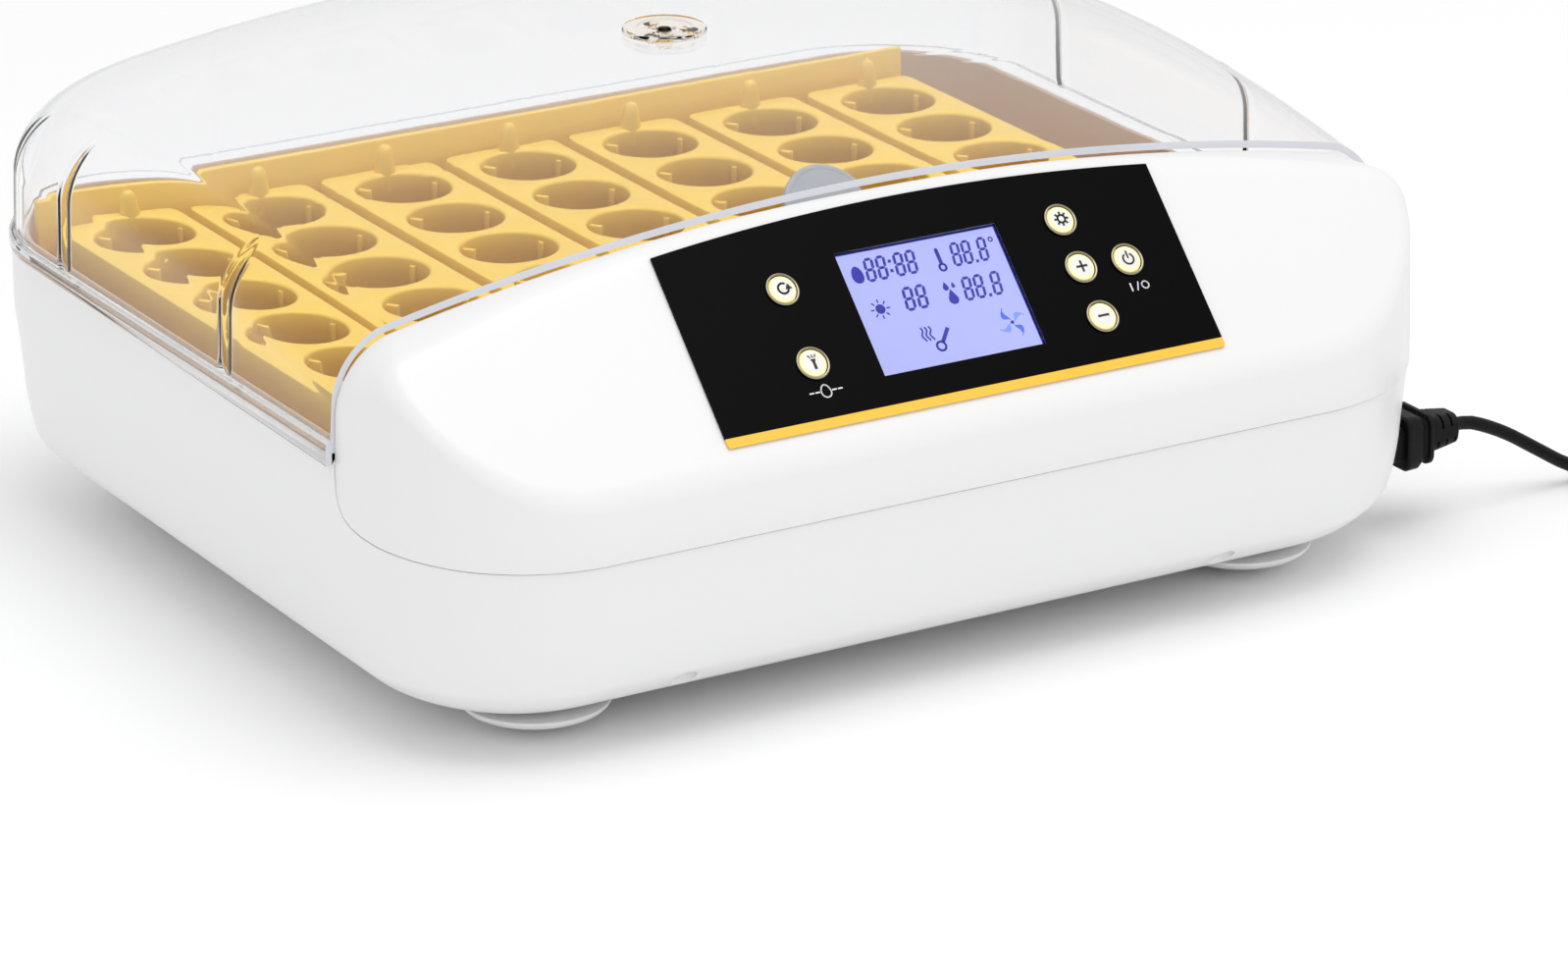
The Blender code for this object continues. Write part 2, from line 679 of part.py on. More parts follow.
def build_console(finish):
    turns = SHOULDER_TURNS
    outer = Dome(BODY_HALF, SPLIT, FRONT, BODY_CORNER_FRONT, console_top, CONSOLE_STEPS)
    rings = [outer.ring(0, 80 * MM), outer.ring(0, 95 * MM)]
    rings += [outer.ring(1.2 * MM, None, console_radius, turn) for turn in turns]
    cover = outer.solid("console_cover", rings)
    wall = CONSOLE_WALL
    inner = Dome(BODY_HALF, SPLIT - wall, FRONT, BODY_CORNER_FRONT,
                 lambda x, y: console_top(x, y) - wall * (1.0 if y > -150 * MM else 1.3), CONSOLE_STEPS)
    rings = [inner.ring(wall, 70 * MM), inner.ring(wall, 95 * MM)]
    rings += [inner.ring(wall + 1.2 * MM, None, lambda y: max(console_radius(y) - wall, 5 * MM), turn)
              for turn in turns]
    cut(cover, inner.solid("console_hollow", rings))
    joint = [(y - 0.35, z + 0.4) for y, z in SEAM]
    below = [(-BEYOND, 0), (-BEYOND, joint[0][1])] + joint
    cut(cover, seam_cutter(below + [(-140.2, 121.4), (-130, 121.4), (-130, 0)]))
    opening = place_on_slope(box("display_opening", ((PANEL_X - 39.5 * MM), -86 * MM, -12 * MM),
                                 ((PANEL_X + 39.5 * MM), -27.5 * MM, 12 * MM)))
    cut(cover, opening)
    for x, down in BUTTONS.values():
        hole = cylinder("hole", (x * MM, -down * MM, -9 * MM), BUTTON_RADIUS + 0.35 * MM, 18 * MM)
        cut(cover, place_on_slope(hole))
    for z in (130, 138, 146, 154):
        low = (FAN_X - 16 * MM, SPLIT - 5 * MM, z * MM)
        cut(cover, box("grille", low, (FAN_X + 16 * MM, SPLIT + 5 * MM, (z + 4) * MM)))
    cut(cover, cylinder("probe_hole", (-60 * MM, SPLIT - 6 * MM, 152 * MM), 4.4 * MM, 12 * MM, "Y"))
    cover.data.materials.clear()
    cover.data.materials.append(finish)
    return cover


def build_fascia(finish):
    """Printed overlay of the console, with its arched top edge and the display window cut out."""
    left, right = PANEL_X - 118.4 * MM, PANEL_X + 118.4 * MM
    top_end, top_middle, bottom = -15.3 * MM, -8 * MM, -102.2 * MM
    steps = 12
    outline = [(left, bottom), (right, bottom)]
    for i in range(steps + 1):
        t = 1 - 2 * i / steps
        outline.append((PANEL_X + t * 118.4 * MM, top_middle + (top_end - top_middle) * t * t))
    rings = [[Vector((x, v, n)) for x, v in outline] for n in (GAP, GAP + 0.9 * MM)]
    fascia = loft("fascia", rings)
    cut(fascia, box("window", (PANEL_X - 38.7 * MM, -85.1 * MM, -5 * MM),
                    (PANEL_X + 38.7 * MM, -28.2 * MM, 5 * MM)))
    for x, down in BUTTONS.values():
        cut(fascia, cylinder("hole", (x * MM, -down * MM, -5 * MM), BUTTON_RADIUS + 0.35 * MM, 10 * MM))
    fascia.data.materials.clear()
    fascia.data.materials.append(finish)
    return place_on_slope(fascia)


def build_display(glass, dark):
    middle = PANEL_X
    place_on_slope(box("lcd_window", (middle - 38.4 * MM, -84.8 * MM, -0.2 * MM),
                       (middle + 38.4 * MM, -28.5 * MM, 0.9 * MM), glass))
    place_on_slope(box("lcd_module", (middle - 38.4 * MM, -84.8 * MM, -7.5 * MM),
                       (middle + 38.4 * MM, -28.5 * MM, -0.5 * MM), dark))


def build_board(finish):
    board = box("control_board", (-82 * MM, -92 * MM, -11.8 * MM), (112 * MM, -24 * MM, -10.2 * MM), finish)
    for x, down in BUTTONS.values():
        reach = 3 * MM
        join(board, box("switch", (x * MM - reach, -down * MM - reach, -11 * MM),
                        (x * MM + reach, -down * MM + reach, -9.1 * MM)))
    return place_on_slope(board)


def build_buttons(white, chrome):
    radius = BUTTON_RADIUS / MM
    for name, (x, down) in BUTTONS.items():
        profile = [(0, -8), (2.2, -8), (2.2, -4.8), (7.2, -4.8), (7.2, -3.9), (radius, -3.9),
                   (radius, 1.9), (4, 2.7), (0, 2.9)]
        cap = turned(f"button_{name}", [(r * MM, n * MM) for r, n in profile], 16, white)
        cap.matrix_world = slope_matrix() @ Matrix.Translation((x * MM, -down * MM, 0))
        ring = [(6.45, 1.5), (7.35, 1.5), (7.35, 2.1), (6.9, 2.4), (6.45, 2.2)]
        bezel = turned(f"bezel_{name}", [(r * MM, n * MM) for r, n in ring], 16, chrome)
        bezel.data.transform(slope_matrix() @ Matrix.Translation((x * MM, -down * MM, 0)))


# ---- console internals --------------------------------------------------------------------
def build_fan(dark):
    frame = box("fan_frame", (FAN_X - 19 * MM, FAN_Y - 5 * MM, FAN_Z - 19 * MM),
                (FAN_X + 19 * MM, FAN_Y + 5 * MM, FAN_Z + 19 * MM), dark)
    cut(frame, cylinder("duct", (FAN_X, FAN_Y - 8 * MM, FAN_Z), 17.2 * MM, 20 * MM, "Y", 32))
    for low, high in (((-18, -1.4), (18, 1.4)), ((-1.4, -18), (1.4, 18))):
        join(frame, box("spoke", (FAN_X + low[0] * MM, FAN_Y - 5 * MM, FAN_Z + low[1] * MM),
                        (FAN_X + high[0] * MM, FAN_Y - 3.6 * MM, FAN_Z + high[1] * MM)))
    hub = cylinder("fan_impeller", (FAN_X, FAN_Y - 3 * MM, FAN_Z), 8 * MM, 7 * MM, "Y", finish=dark)
    for k in range(7):
        blade = box("blade", (4 * MM, -0.8 * MM, -2.6 * MM), (15.8 * MM, 0.8 * MM, 2.6 * MM))
        spin = Matrix.Rotation(2 * math.pi * k / 7, 4, "Y")
        tilt = Matrix.Rotation(math.radians(50), 4, "X")
        blade.data.transform(Matrix.Translation((FAN_X, FAN_Y + 0.6 * MM, FAN_Z)) @ spin @ tilt)
        join(hub, blade)
    set_origin(hub, (FAN_X, FAN_Y, FAN_Z))


def build_heater(finish):
    """Finned heating block between the fan and the grille."""
    heater = box("heater", (FAN_X - 19 * MM, -150.6 * MM, FAN_Z - 17 * MM),
                 (FAN_X + 19 * MM, -143 * MM, FAN_Z + 17 * MM), finish)
    for i in range(7):
        x = FAN_X - 16.5 * MM + i * 5 * MM
        cut(heater, box("gap", (x, -160 * MM, FAN_Z - 13 * MM), (x + 3 * MM, -130 * MM, FAN_Z + 13 * MM)))


def build_probe(finish):
    profile = [(0, 0), (5.6, 0), (5.6, 3), (4, 3), (4, 19), (3, 20), (0, 20)]
    turned("sensor_probe", [(r * MM, z * MM) for r, z in profile], 20, finish, "Y",
           (-60 * MM, SPLIT - CONSOLE_WALL - 3.3 * MM, 152 * MM))


CANDLER = Vector((-10 * MM, -119.8 * MM, 178.6 * MM))


def build_candler(rubber, plastic):
    """Round soft pad of the egg-candling lamp, held off the console's rear wall by a bracket."""
    tilt = Matrix.Translation(CANDLER) @ Matrix.Rotation(SLOPE, 4, "X")
    profile = [(0, -7), (17, -7), (19.5, -3), (19.5, -0.8), (18.8, 0), (0, 0)]
    cup = turned("candler_cup", [(r * MM, n * MM) for r, n in profile], 24, rubber)
    cup.data.transform(tilt)
    arm = box("candler_bracket", (CANDLER.x - 8 * MM, SPLIT + 0.3 * MM, 150 * MM),
              (CANDLER.x + 8 * MM, SPLIT + 3 * MM, 172 * MM), plastic)
    rest = cylinder("rest", (0, 0, -26 * MM), 8 * MM, 18.7 * MM)
    rest.data.transform(tilt)
    join(arm, rest)
    join(arm, box("web", (CANDLER.x - 6 * MM, SPLIT + 1 * MM, 151 * MM),
                  (CANDLER.x + 6 * MM, CANDLER.y + 20 * MM, 158.5 * MM)))


def build_power_board(finish):
    board = box("power_board", (62 * MM, -190 * MM, 34.3 * MM), (198 * MM, -145 * MM, 35.9 * MM), finish)
    transformer, capacitor, heat_sink = (70, -186, 102, -156, 58), (112, -184, 126, -160, 50), \
        (150, -182, 186, -170, 50)
    for left, front, right, back, top in (transformer, capacitor, heat_sink):
        join(board, box("block", (left * MM, front * MM, 35 * MM), (right * MM, back * MM, top * MM)))


# ---- mains lead ---------------------------------------------------------------------------
def build_inlet(finish):
    """Appliance inlet in the right wall, open to the outside."""
    y, z = INLET_Y, INLET_Z
    reach, rise = 15.7 * MM, 11.7 * MM
    inlet = box("power_inlet", (INLET_X - 18 * MM, y - reach, z - rise),
                (INLET_X + 0.5 * MM, y + reach, z + rise), finish)
    cut(inlet, box("socket", (INLET_X - 15 * MM, y - 12.6 * MM, z - 8.6 * MM),
                   (INLET_X + 5 * MM, y + 12.6 * MM, z + 8.6 * MM)))
    for dy in (-7, 0, 7):
        join(inlet, box("pin", (INLET_X - 17 * MM, y + (dy - 1) * MM, z - 2 * MM),
                        (INLET_X - 5 * MM, y + (dy + 1) * MM, z + 2 * MM)))


def rounded_section(x, half_y, half_z, radius):
    points = []
    for quarter, (sy, sz) in enumerate(((1, 1), (-1, 1), (-1, -1), (1, -1))):
        for k in range(4):
            angle = math.pi / 2 * (quarter + k / 3)
            points.append(Vector((x, INLET_Y + sy * (half_y - radius) + radius * math.cos(angle),
                                  INLET_Z + sz * (half_z - radius) + radius * math.sin(angle))))
    return points


def build_plug(finish):
    """Moulded connector in the inlet, with its grip and strain relief."""
    spec = [  # distance from the inlet face, half width, half height, corner
        (-14, 12, 8, 3), (1.2, 12, 8, 3), (1.2, 13.5, 9.5, 4), (19, 13, 9, 4), (21, 13.6, 10.4, 5),
        (29, 13, 10, 5), (31.5, 8, 7, 5), (46, 5, 5, 4.6)]
    rings = [rounded_section(INLET_X + x * MM, y * MM, z * MM, r * MM) for x, y, z, r in spec]
    plug = loft("plug_c13", rings, finish)
    for dy in (-7, 0, 7):
        cut(plug, box("slot", (INLET_X - 20 * MM, INLET_Y + (dy - 1.4) * MM, INLET_Z - 2.4 * MM),
                      (INLET_X - 4.4 * MM, INLET_Y + (dy + 1.4) * MM, INLET_Z + 2.4 * MM)))


COIL = Vector((405 * MM, -193.6 * MM, 0))
COIL_RADIUS = 33 * MM
COIL_HALF_WIDTH = 9.5 * MM
COIL_LOW, COIL_HIGH = 1.3 * MM, 14 * MM
WALL_PLUG = Vector((444.1 * MM, -248.3 * MM, 19.5 * MM))


def smooth_route(points, count):
    """Points of a Catmull-Rom curve through the route, evenly spaced along it."""
    route = [Vector(p) * MM for p in points]
    route = [2 * route[0] - route[1]] + route + [2 * route[-1] - route[-2]]
    fine = []
    for a, b, c, d in zip(route, route[1:], route[2:], route[3:]):
        for k in range(20):
            t = k / 20
            fine.append(0.5 * ((2 * b) + (c - a) * t + (2 * a - 5 * b + 4 * c - d) * t ** 2
                               + (3 * b - a - 3 * c + d) * t ** 3))
    fine.append(route[-2])
    lengths = [0]
    for one, two in zip(fine, fine[1:]):
        lengths.append(lengths[-1] + (two - one).length)
    result, place = [], 0
    for i in range(count):
        goal = lengths[-1] * i / (count - 1)
        while place < len(lengths) - 2 and lengths[place + 1] < goal:
            place += 1
        span = lengths[place + 1] - lengths[place]
        result.append(fine[place].lerp(fine[place + 1], (goal - lengths[place]) / span))
    return result


def build_tube(name, points, count, finish):
    curve = bpy.data.curves.new(name, "CURVE")
    curve.dimensions = "3D"
    curve.bevel_depth = CORD_DIAMETER / 2
    curve.bevel_resolution = 2
    curve.use_fill_caps = True
    spline = curve.splines.new("POLY")
    spline.points.add(count - 1)
    for point, spot in zip(spline.points, smooth_route(points, count)):
        point.co = (*spot, 1)
    curve.materials.append(finish)
    item = bpy.data.objects.new(name, curve)
    bpy.context.scene.collection.objects.link(item)


LEAD_ROUTE = [                # from the strain relief down to the outer turn of the coil, mm
    (284.3, -154.5, 40), (295, -154.5, 38.6), (312, -154.5, 31), (330, -154.5, 20),
    (345, -154.5, 10.8), (358, -154.5, 5.6), (380.8, -154.5, 4.3)]
TAIL_ROUTE = [                # from the outer turn of the coil to the wall plug, mm
    (444.1, -218, 10.4), (444.1, -224, 11), (444.1, -233, 15), (444.1, -242, 18.9), (444.1, -248, 19.5)]


def build_lead(black):
    build_tube("mains_cable", LEAD_ROUTE, 24, black)
    build_tube("plug_tail", TAIL_ROUTE, 16, black)
    ring = [(COIL_RADIUS - COIL_HALF_WIDTH, COIL_LOW), (COIL_RADIUS + COIL_HALF_WIDTH, COIL_LOW),
            (COIL_RADIUS + COIL_HALF_WIDTH, COIL_HIGH), (COIL_RADIUS - COIL_HALF_WIDTH, COIL_HIGH)]
    turned("cable_coil", ring, 32, black, centre=COIL)
    reach = COIL_HALF_WIDTH + GAP
    centre = COIL.y + COIL_RADIUS
    tie = box("coil_tie", (COIL.x - 5 * MM, centre - reach - 2.6 * MM, 0.2 * MM),
              (COIL.x + 5 * MM, centre + reach + 0.8 * MM, COIL_HIGH + GAP + 0.8 * MM), black)
    cut(tie, box("inside", (COIL.x - 9 * MM, centre - reach - 1.8 * MM, COIL_LOW - GAP),
                 (COIL.x + 9 * MM, centre + reach, COIL_HIGH + GAP)))
    profile = [(0, 0), (6, 0), (7, 8), (15, 14), (19, 20), (19, 38), (17.5, 40), (0, 40)]
    turn = Matrix.Translation(WALL_PLUG) @ Matrix.Rotation(math.pi / 2, 4, "X")
    plug = turned("wall_plug", [(r * MM, z * MM) for r, z in profile], 20, black)
    for dx in (-9.5, 9.5):
        join(plug, cylinder("pin", (dx * MM, 0, 36 * MM), 2.4 * MM, 23 * MM, segments=12))
    plug.data.transform(turn)


def main():
    clear_scene()
    white = material("white_abs", (0.86, 0.86, 0.86), 0.38)
    beige = material("beige_liner", (0.72, 0.6, 0.48), 0.5)
    yellow = material("yellow_tray", (0.9, 0.6, 0.2), 0.5)
    clear = material("clear_lid", (0.95, 0.97, 1.0), 0.04, alpha=0.25)
    black = material("black_moulding", (0.015, 0.015, 0.016), 0.45)
    gloss = material("fascia_black", (0.008, 0.008, 0.008), 0.18)
    glass = material("display_glass", (0.5, 0.52, 0.9), 0.1)
    cap = material("button_white", (0.9, 0.9, 0.85), 0.3)
    chrome = material("bezel_chrome", (0.5, 0.48, 0.44), 0.2, 1.0)
    steel = material("zinc_steel", (0.55, 0.55, 0.56), 0.35, 1.0)
    board = material("board_green", (0.03, 0.2, 0.08), 0.5)
    rubber = material("grey_rubber", (0.38, 0.4, 0.42), 0.7)
    build_base(white)
    build_feet(white)
    build_screws(steel)
    build_liner(beige)
    build_floor(yellow)
    build_channel_walls(beige)
    build_tray(yellow)
    build_rack(yellow)
    build_drive(steel, white)
    build_lid(clear)
    build_vent_cap(clear)
    build_console(white)
    build_fascia(gloss)
    build_display(glass, black)
    build_board(board)
    build_buttons(cap, chrome)
    build_fan(black)
    build_heater(steel)
    build_probe(steel)
    build_candler(rubber, white)
    build_power_board(board)
    build_inlet(black)
    build_plug(black)
    build_lead(black)


if __name__ == "__main__":
    main()
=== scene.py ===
"""Fine shapes and finishes of a tabletop egg incubator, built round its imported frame.

Metres, +Z up, the table at z = 0.  +X runs along the console, -Y is the front.
"""
import math

import bmesh
import bpy
from mathutils import Matrix, Vector


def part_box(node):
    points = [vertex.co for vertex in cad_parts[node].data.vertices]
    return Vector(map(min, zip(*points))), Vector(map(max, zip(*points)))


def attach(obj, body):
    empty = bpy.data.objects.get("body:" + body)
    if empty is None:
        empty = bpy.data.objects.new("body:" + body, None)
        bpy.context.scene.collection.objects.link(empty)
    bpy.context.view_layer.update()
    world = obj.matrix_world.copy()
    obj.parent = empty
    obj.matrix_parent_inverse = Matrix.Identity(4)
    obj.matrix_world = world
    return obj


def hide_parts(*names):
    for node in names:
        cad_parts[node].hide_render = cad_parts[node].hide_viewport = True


bl_info = {
    "name": "Egg Incubator",
    "version": (1, 0, 0),
    "blender": (4, 5, 0),
    "location": "3D View > Sidebar > Incubator",
    "description": "Builds the fine shapes and finishes of a tabletop egg incubator",
    "category": "Object",
}

MM = 0.001
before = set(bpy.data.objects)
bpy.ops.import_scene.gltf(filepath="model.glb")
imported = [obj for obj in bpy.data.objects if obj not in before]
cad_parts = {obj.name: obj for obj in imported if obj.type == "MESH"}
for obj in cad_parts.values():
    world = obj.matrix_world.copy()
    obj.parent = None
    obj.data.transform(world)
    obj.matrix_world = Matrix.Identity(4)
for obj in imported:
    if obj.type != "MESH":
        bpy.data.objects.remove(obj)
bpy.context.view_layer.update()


# ---- places taken from the frame ----------------------------------------------------------
COVER_LOW, COVER_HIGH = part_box("console_cover")
_, BASE_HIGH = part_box("base_shell")
_, LID_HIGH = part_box("lid")
VENT_LOW, VENT_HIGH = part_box("vent_cap")
ROW_LOW, ROW_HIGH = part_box("egg_row_1")
ROW_2_LOW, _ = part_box("egg_row_2")
FOOT_LOW, FOOT_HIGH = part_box("foot_front_right")
FOOT_BACK_LOW, FOOT_BACK_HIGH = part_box("foot_back_right")
SCREW_LOW, SCREW_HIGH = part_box("case_screw_front_right")
SCREW_BACK_LOW, SCREW_BACK_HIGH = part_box("case_screw_back_right")
COIL_LOW, COIL_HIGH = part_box("cable_coil")
WALL_PLUG_LOW, WALL_PLUG_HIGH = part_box("wall_plug")
PLUG_LOW, PLUG_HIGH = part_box("plug_c13")

FRONT = COVER_LOW.y
BODY_HALF = COVER_HIGH.x
SPLIT = -140 * MM            # joint of the lid and the console
BODY_BACK = BASE_HIGH.y
SLOPE = math.radians(45.25)   # of the panel, from level
SLOPE_TOP = Vector((0, -139.8 * MM, 194.2 * MM))
ON_SLOPE = Matrix.Translation(SLOPE_TOP) @ Matrix.Rotation(SLOPE, 4, "X")
PANEL_X = 6 * MM              # middle of the panel
CROWN = 213 * MM              # top of the lid at its middle
VENT_Y = ((VENT_LOW + VENT_HIGH) / 2).y
INLET_Z = 40 * MM             # middle of the mains connector
CAP_BORE = 6.35               # radius of the hole of a button, mm
CELLS, CELL_PITCH = 6, 47.7   # cells of one strip and their pitch in mm
ROW_LAST_Y = (130.5 - 5 * CELL_PITCH) * MM
ROWS = 7
BUTTONS = {                   # across from the middle and down the slope, mm
    "reset": (-61.8, 39.8),
    "candler": (-61.9, 73.7),
    "set": (73.9, 33.1),
    "plus": (74.0, 55.5),
    "minus": (74.2, 78.7),
    "power": (96.4, 56.1),
}
LEAD_ROUTE = [                # from the strain relief down to the coil, mm
    (284.3, -154.5, 40), (295, -154.5, 38.6), (312, -154.5, 31), (330, -154.5, 20),
    (345, -154.5, 10.8), (358, -154.5, 5.6), (380.8, -154.5, 4.3)]
TAIL_ROUTE = [                # from the coil to the wall plug, mm
    (444.1, -218, 10.4), (444.1, -224, 11), (444.1, -233, 15), (444.1, -242, 18.9), (444.1, -248, 19.5)]


# ---- what a user may change ---------------------------------------------------------------
def colour_property(name, text, value):
    return bpy.props.FloatVectorProperty(name=name, description=text, default=value,
                                         subtype="COLOR", size=3, min=0, max=1)


def length_property(name, text, value):
    return bpy.props.FloatProperty(name=name, description=text, default=value, unit="LENGTH")


class IncubatorSizes(bpy.types.PropertyGroup):
    lid_wall: length_property("Lid wall", "Thickness of the clear lid", 3.2 * MM)
    flute_depth: length_property("Flute depth", "How deep the lid's pressed flutes are", 1.1 * MM)
    flute_width: length_property("Flute half width", "Half width of each of the lid's flutes", 5.2 * MM)
    cell_radius: length_property("Cell radius", "Radius of the opening of an egg cell", 21 * MM)
    rim_round: length_property("Cell rim", "Rounding of an egg cell's rim", 1.5 * MM)
    cord_diameter: length_property("Lead diameter", "Outer diameter of the mains lead", 6 * MM)
    digit_height: length_property("Digit height", "Height of the display's digits", 10.8 * MM)


class IncubatorColours(bpy.types.PropertyGroup):
    shell: colour_property("Housing", "White of the two-part housing", (0.86, 0.86, 0.862))
    tub: colour_property("Tub", "Beige of the chamber's tub", (0.66, 0.49, 0.35))
    tray: colour_property("Tray", "Warm yellow of the egg tray", (0.95, 0.63, 0.09))
    clear: colour_property("Lid", "Tint of the clear lid", (0.985, 0.99, 1.0))
    overlay: colour_property("Panel", "Black of the panel overlay", (0.001, 0.001, 0.0012))
    stripe: colour_property("Stripe", "Yellow of the panel's stripe", (0.96, 0.56, 0.035))
    glow: colour_property("Display", "Lavender of the lit display", (0.46, 0.50, 0.97))
    ink: colour_property("Display ink", "Navy of the display's marks", (0.003, 0.003, 0.30))
    button: colour_property("Buttons", "White of the button caps", (0.86, 0.86, 0.80))
    halo: colour_property("Button rim", "Pale yellow of the lit button rims", (0.95, 0.86, 0.42))
    lead: colour_property("Lead", "Black of the lead and its plugs", (0.004, 0.004, 0.0045))


# ---- shader groups ------------------------------------------------------------------------
def group_socket(tree, name, way, kind, value=None):
    socket = tree.interface.new_socket(name=name, in_out=way, socket_type=kind)
    if value is not None:
        socket.default_value = value
    return socket


def add_node(tree, kind, values=None, **settings):
    """A node with the given settings and input values."""
    node = tree.nodes.new(kind)
    for name, value in settings.items():
        setattr(node, name, value)
    for name, value in (values or {}).items():
        node.inputs[name].default_value = value
    return node


def wire(tree, *links):
    """Links given as (node, output, node, input)."""
    for one, output, two, entry in links:
        tree.links.new(one.outputs[output], two.inputs[entry])


def make_grain_group():
    """Fine moulded grain: roughness that wanders and a low bump height."""
    tree = bpy.data.node_groups.new("moulded grain", "ShaderNodeTree")
    group_socket(tree, "Vector", "INPUT", "NodeSocketVector")
    group_socket(tree, "Scale", "INPUT", "NodeSocketFloat", 900.0)
    group_socket(tree, "Roughness", "INPUT", "NodeSocketFloat", 0.4)
    group_socket(tree, "Wander", "INPUT", "NodeSocketFloat", 0.1)
    group_socket(tree, "Roughness", "OUTPUT", "NodeSocketFloat")
    group_socket(tree, "Height", "OUTPUT", "NodeSocketFloat")
    entry = add_node(tree, "NodeGroupInput")
    leave = add_node(tree, "NodeGroupOutput")
    fine = add_node(tree, "ShaderNodeTexNoise", {"Detail": 3.0})
    broad = add_node(tree, "ShaderNodeTexNoise", {"Scale": 18.0, "Detail": 4.0})
    spread = add_node(tree, "ShaderNodeMath", operation="MULTIPLY_ADD")
    centre = add_node(tree, "ShaderNodeMath", {1: 0.5}, operation="SUBTRACT")
    wire(tree,
         (entry, "Vector", fine, "Vector"), (entry, "Scale", fine, "Scale"),
         (entry, "Vector", broad, "Vector"), (broad, "Fac", centre, 0), (centre, 0, spread, 0),
         (entry, "Wander", spread, 1), (entry, "Roughness", spread, 2),
         (spread, 0, leave, "Roughness"), (fine, "Fac", leave, "Height"))
    return tree


def make_tone_group():
    """Slow drift of colour between a tone and its tint, with a lighter or darker edge."""
    tree = bpy.data.node_groups.new("tone drift", "ShaderNodeTree")
    group_socket(tree, "Vector", "INPUT", "NodeSocketVector")
    group_socket(tree, "Color", "INPUT", "NodeSocketColor", (0.8, 0.8, 0.8, 1))
    group_socket(tree, "Tint", "INPUT", "NodeSocketColor", (0.7, 0.7, 0.7, 1))
    group_socket(tree, "Edge", "INPUT", "NodeSocketColor", (0.9, 0.9, 0.9, 1))
    group_socket(tree, "Scale", "INPUT", "NodeSocketFloat", 6.0)
    group_socket(tree, "Drift", "INPUT", "NodeSocketFloat", 0.3)
    group_socket(tree, "Edge Amount", "INPUT", "NodeSocketFloat", 0.3)
    group_socket(tree, "Color", "OUTPUT", "NodeSocketColor")
    entry = add_node(tree, "NodeGroupInput")
    leave = add_node(tree, "NodeGroupOutput")
    noise = add_node(tree, "ShaderNodeTexNoise", {"Detail": 5.0, "Roughness": 0.6})
    amount = add_node(tree, "ShaderNodeMath", operation="MULTIPLY")
    blend = add_node(tree, "ShaderNodeMix", data_type="RGBA")
    bend = add_node(tree, "ShaderNodeNewGeometry")
    ramp = add_node(tree, "ShaderNodeMapRange", {"From Min": 0.52, "From Max": 0.62})
    edge_share = add_node(tree, "ShaderNodeMath", operation="MULTIPLY")
    edged = add_node(tree, "ShaderNodeMix", data_type="RGBA")
    wire(tree,
         (entry, "Vector", noise, "Vector"), (entry, "Scale", noise, "Scale"),
         (noise, "Fac", amount, 0), (entry, "Drift", amount, 1), (amount, 0, blend, "Factor"),
         (entry, "Color", blend, "A"), (entry, "Tint", blend, "B"),
         (bend, "Pointiness", ramp, "Value"), (ramp, "Result", edge_share, 0),
         (entry, "Edge Amount", edge_share, 1), (edge_share, 0, edged, "Factor"),
         (blend, "Result", edged, "A"), (entry, "Edge", edged, "B"), (edged, "Result", leave, "Color"))
    return tree


def shader_group(name, maker):
    return bpy.data.node_groups.get(name) or maker()


# ---- materials ----------------------------------------------------------------------------
def moulded(name, color, tint=None, edge=None, roughness=0.4, wander=0.12, grain=1200.0, depth=0.02,
            metallic=0.0, drift=0.35, edge_amount=0.3, coat=0.0, shine=0.5, emission=None,
            strength=0.0):
    """A moulded or machined finish: drifting tone, fine grain and softly changed edges."""
    found = bpy.data.materials.get(name)
    if found is not None:
        return found
    item = bpy.data.materials.new(name)
    item.use_nodes = True
    tree = item.node_tree
    shader = tree.nodes["Principled BSDF"]
    color = tuple(color)
    place = add_node(tree, "ShaderNodeTexCoord")
    grain_node = add_node(tree, "ShaderNodeGroup",
                          node_tree=shader_group("moulded grain", make_grain_group))
    tone = add_node(tree, "ShaderNodeGroup", node_tree=shader_group("tone drift", make_tone_group))
    bump = add_node(tree, "ShaderNodeBump", {"Strength": 0.5, "Distance": depth * MM})
    for node, values in (
            (grain_node, {"Scale": grain, "Roughness": roughness, "Wander": wander}),
            (tone, {"Color": (*color, 1), "Tint": (*(tint or tuple(c * 0.93 for c in color)), 1),
                    "Edge": (*(edge or tuple(min(c * 1.08, 1) for c in color)), 1),
                    "Drift": drift, "Edge Amount": edge_amount}),
            (shader, {"Metallic": metallic, "Coat Weight": coat, "Specular IOR Level": shine})):
        for key, value in values.items():
            node.inputs[key].default_value = value
    wire(tree,
         (place, "Object", grain_node, "Vector"), (place, "Object", tone, "Vector"),
         (tone, "Color", shader, "Base Color"), (grain_node, "Roughness", shader, "Roughness"),
         (grain_node, "Height", bump, "Height"), (bump, "Normal", shader, "Normal"))
    if emission is not None:
        shader.inputs["Emission Color"].default_value = (*emission, 1)
        shader.inputs["Emission Strength"].default_value = strength
    return item


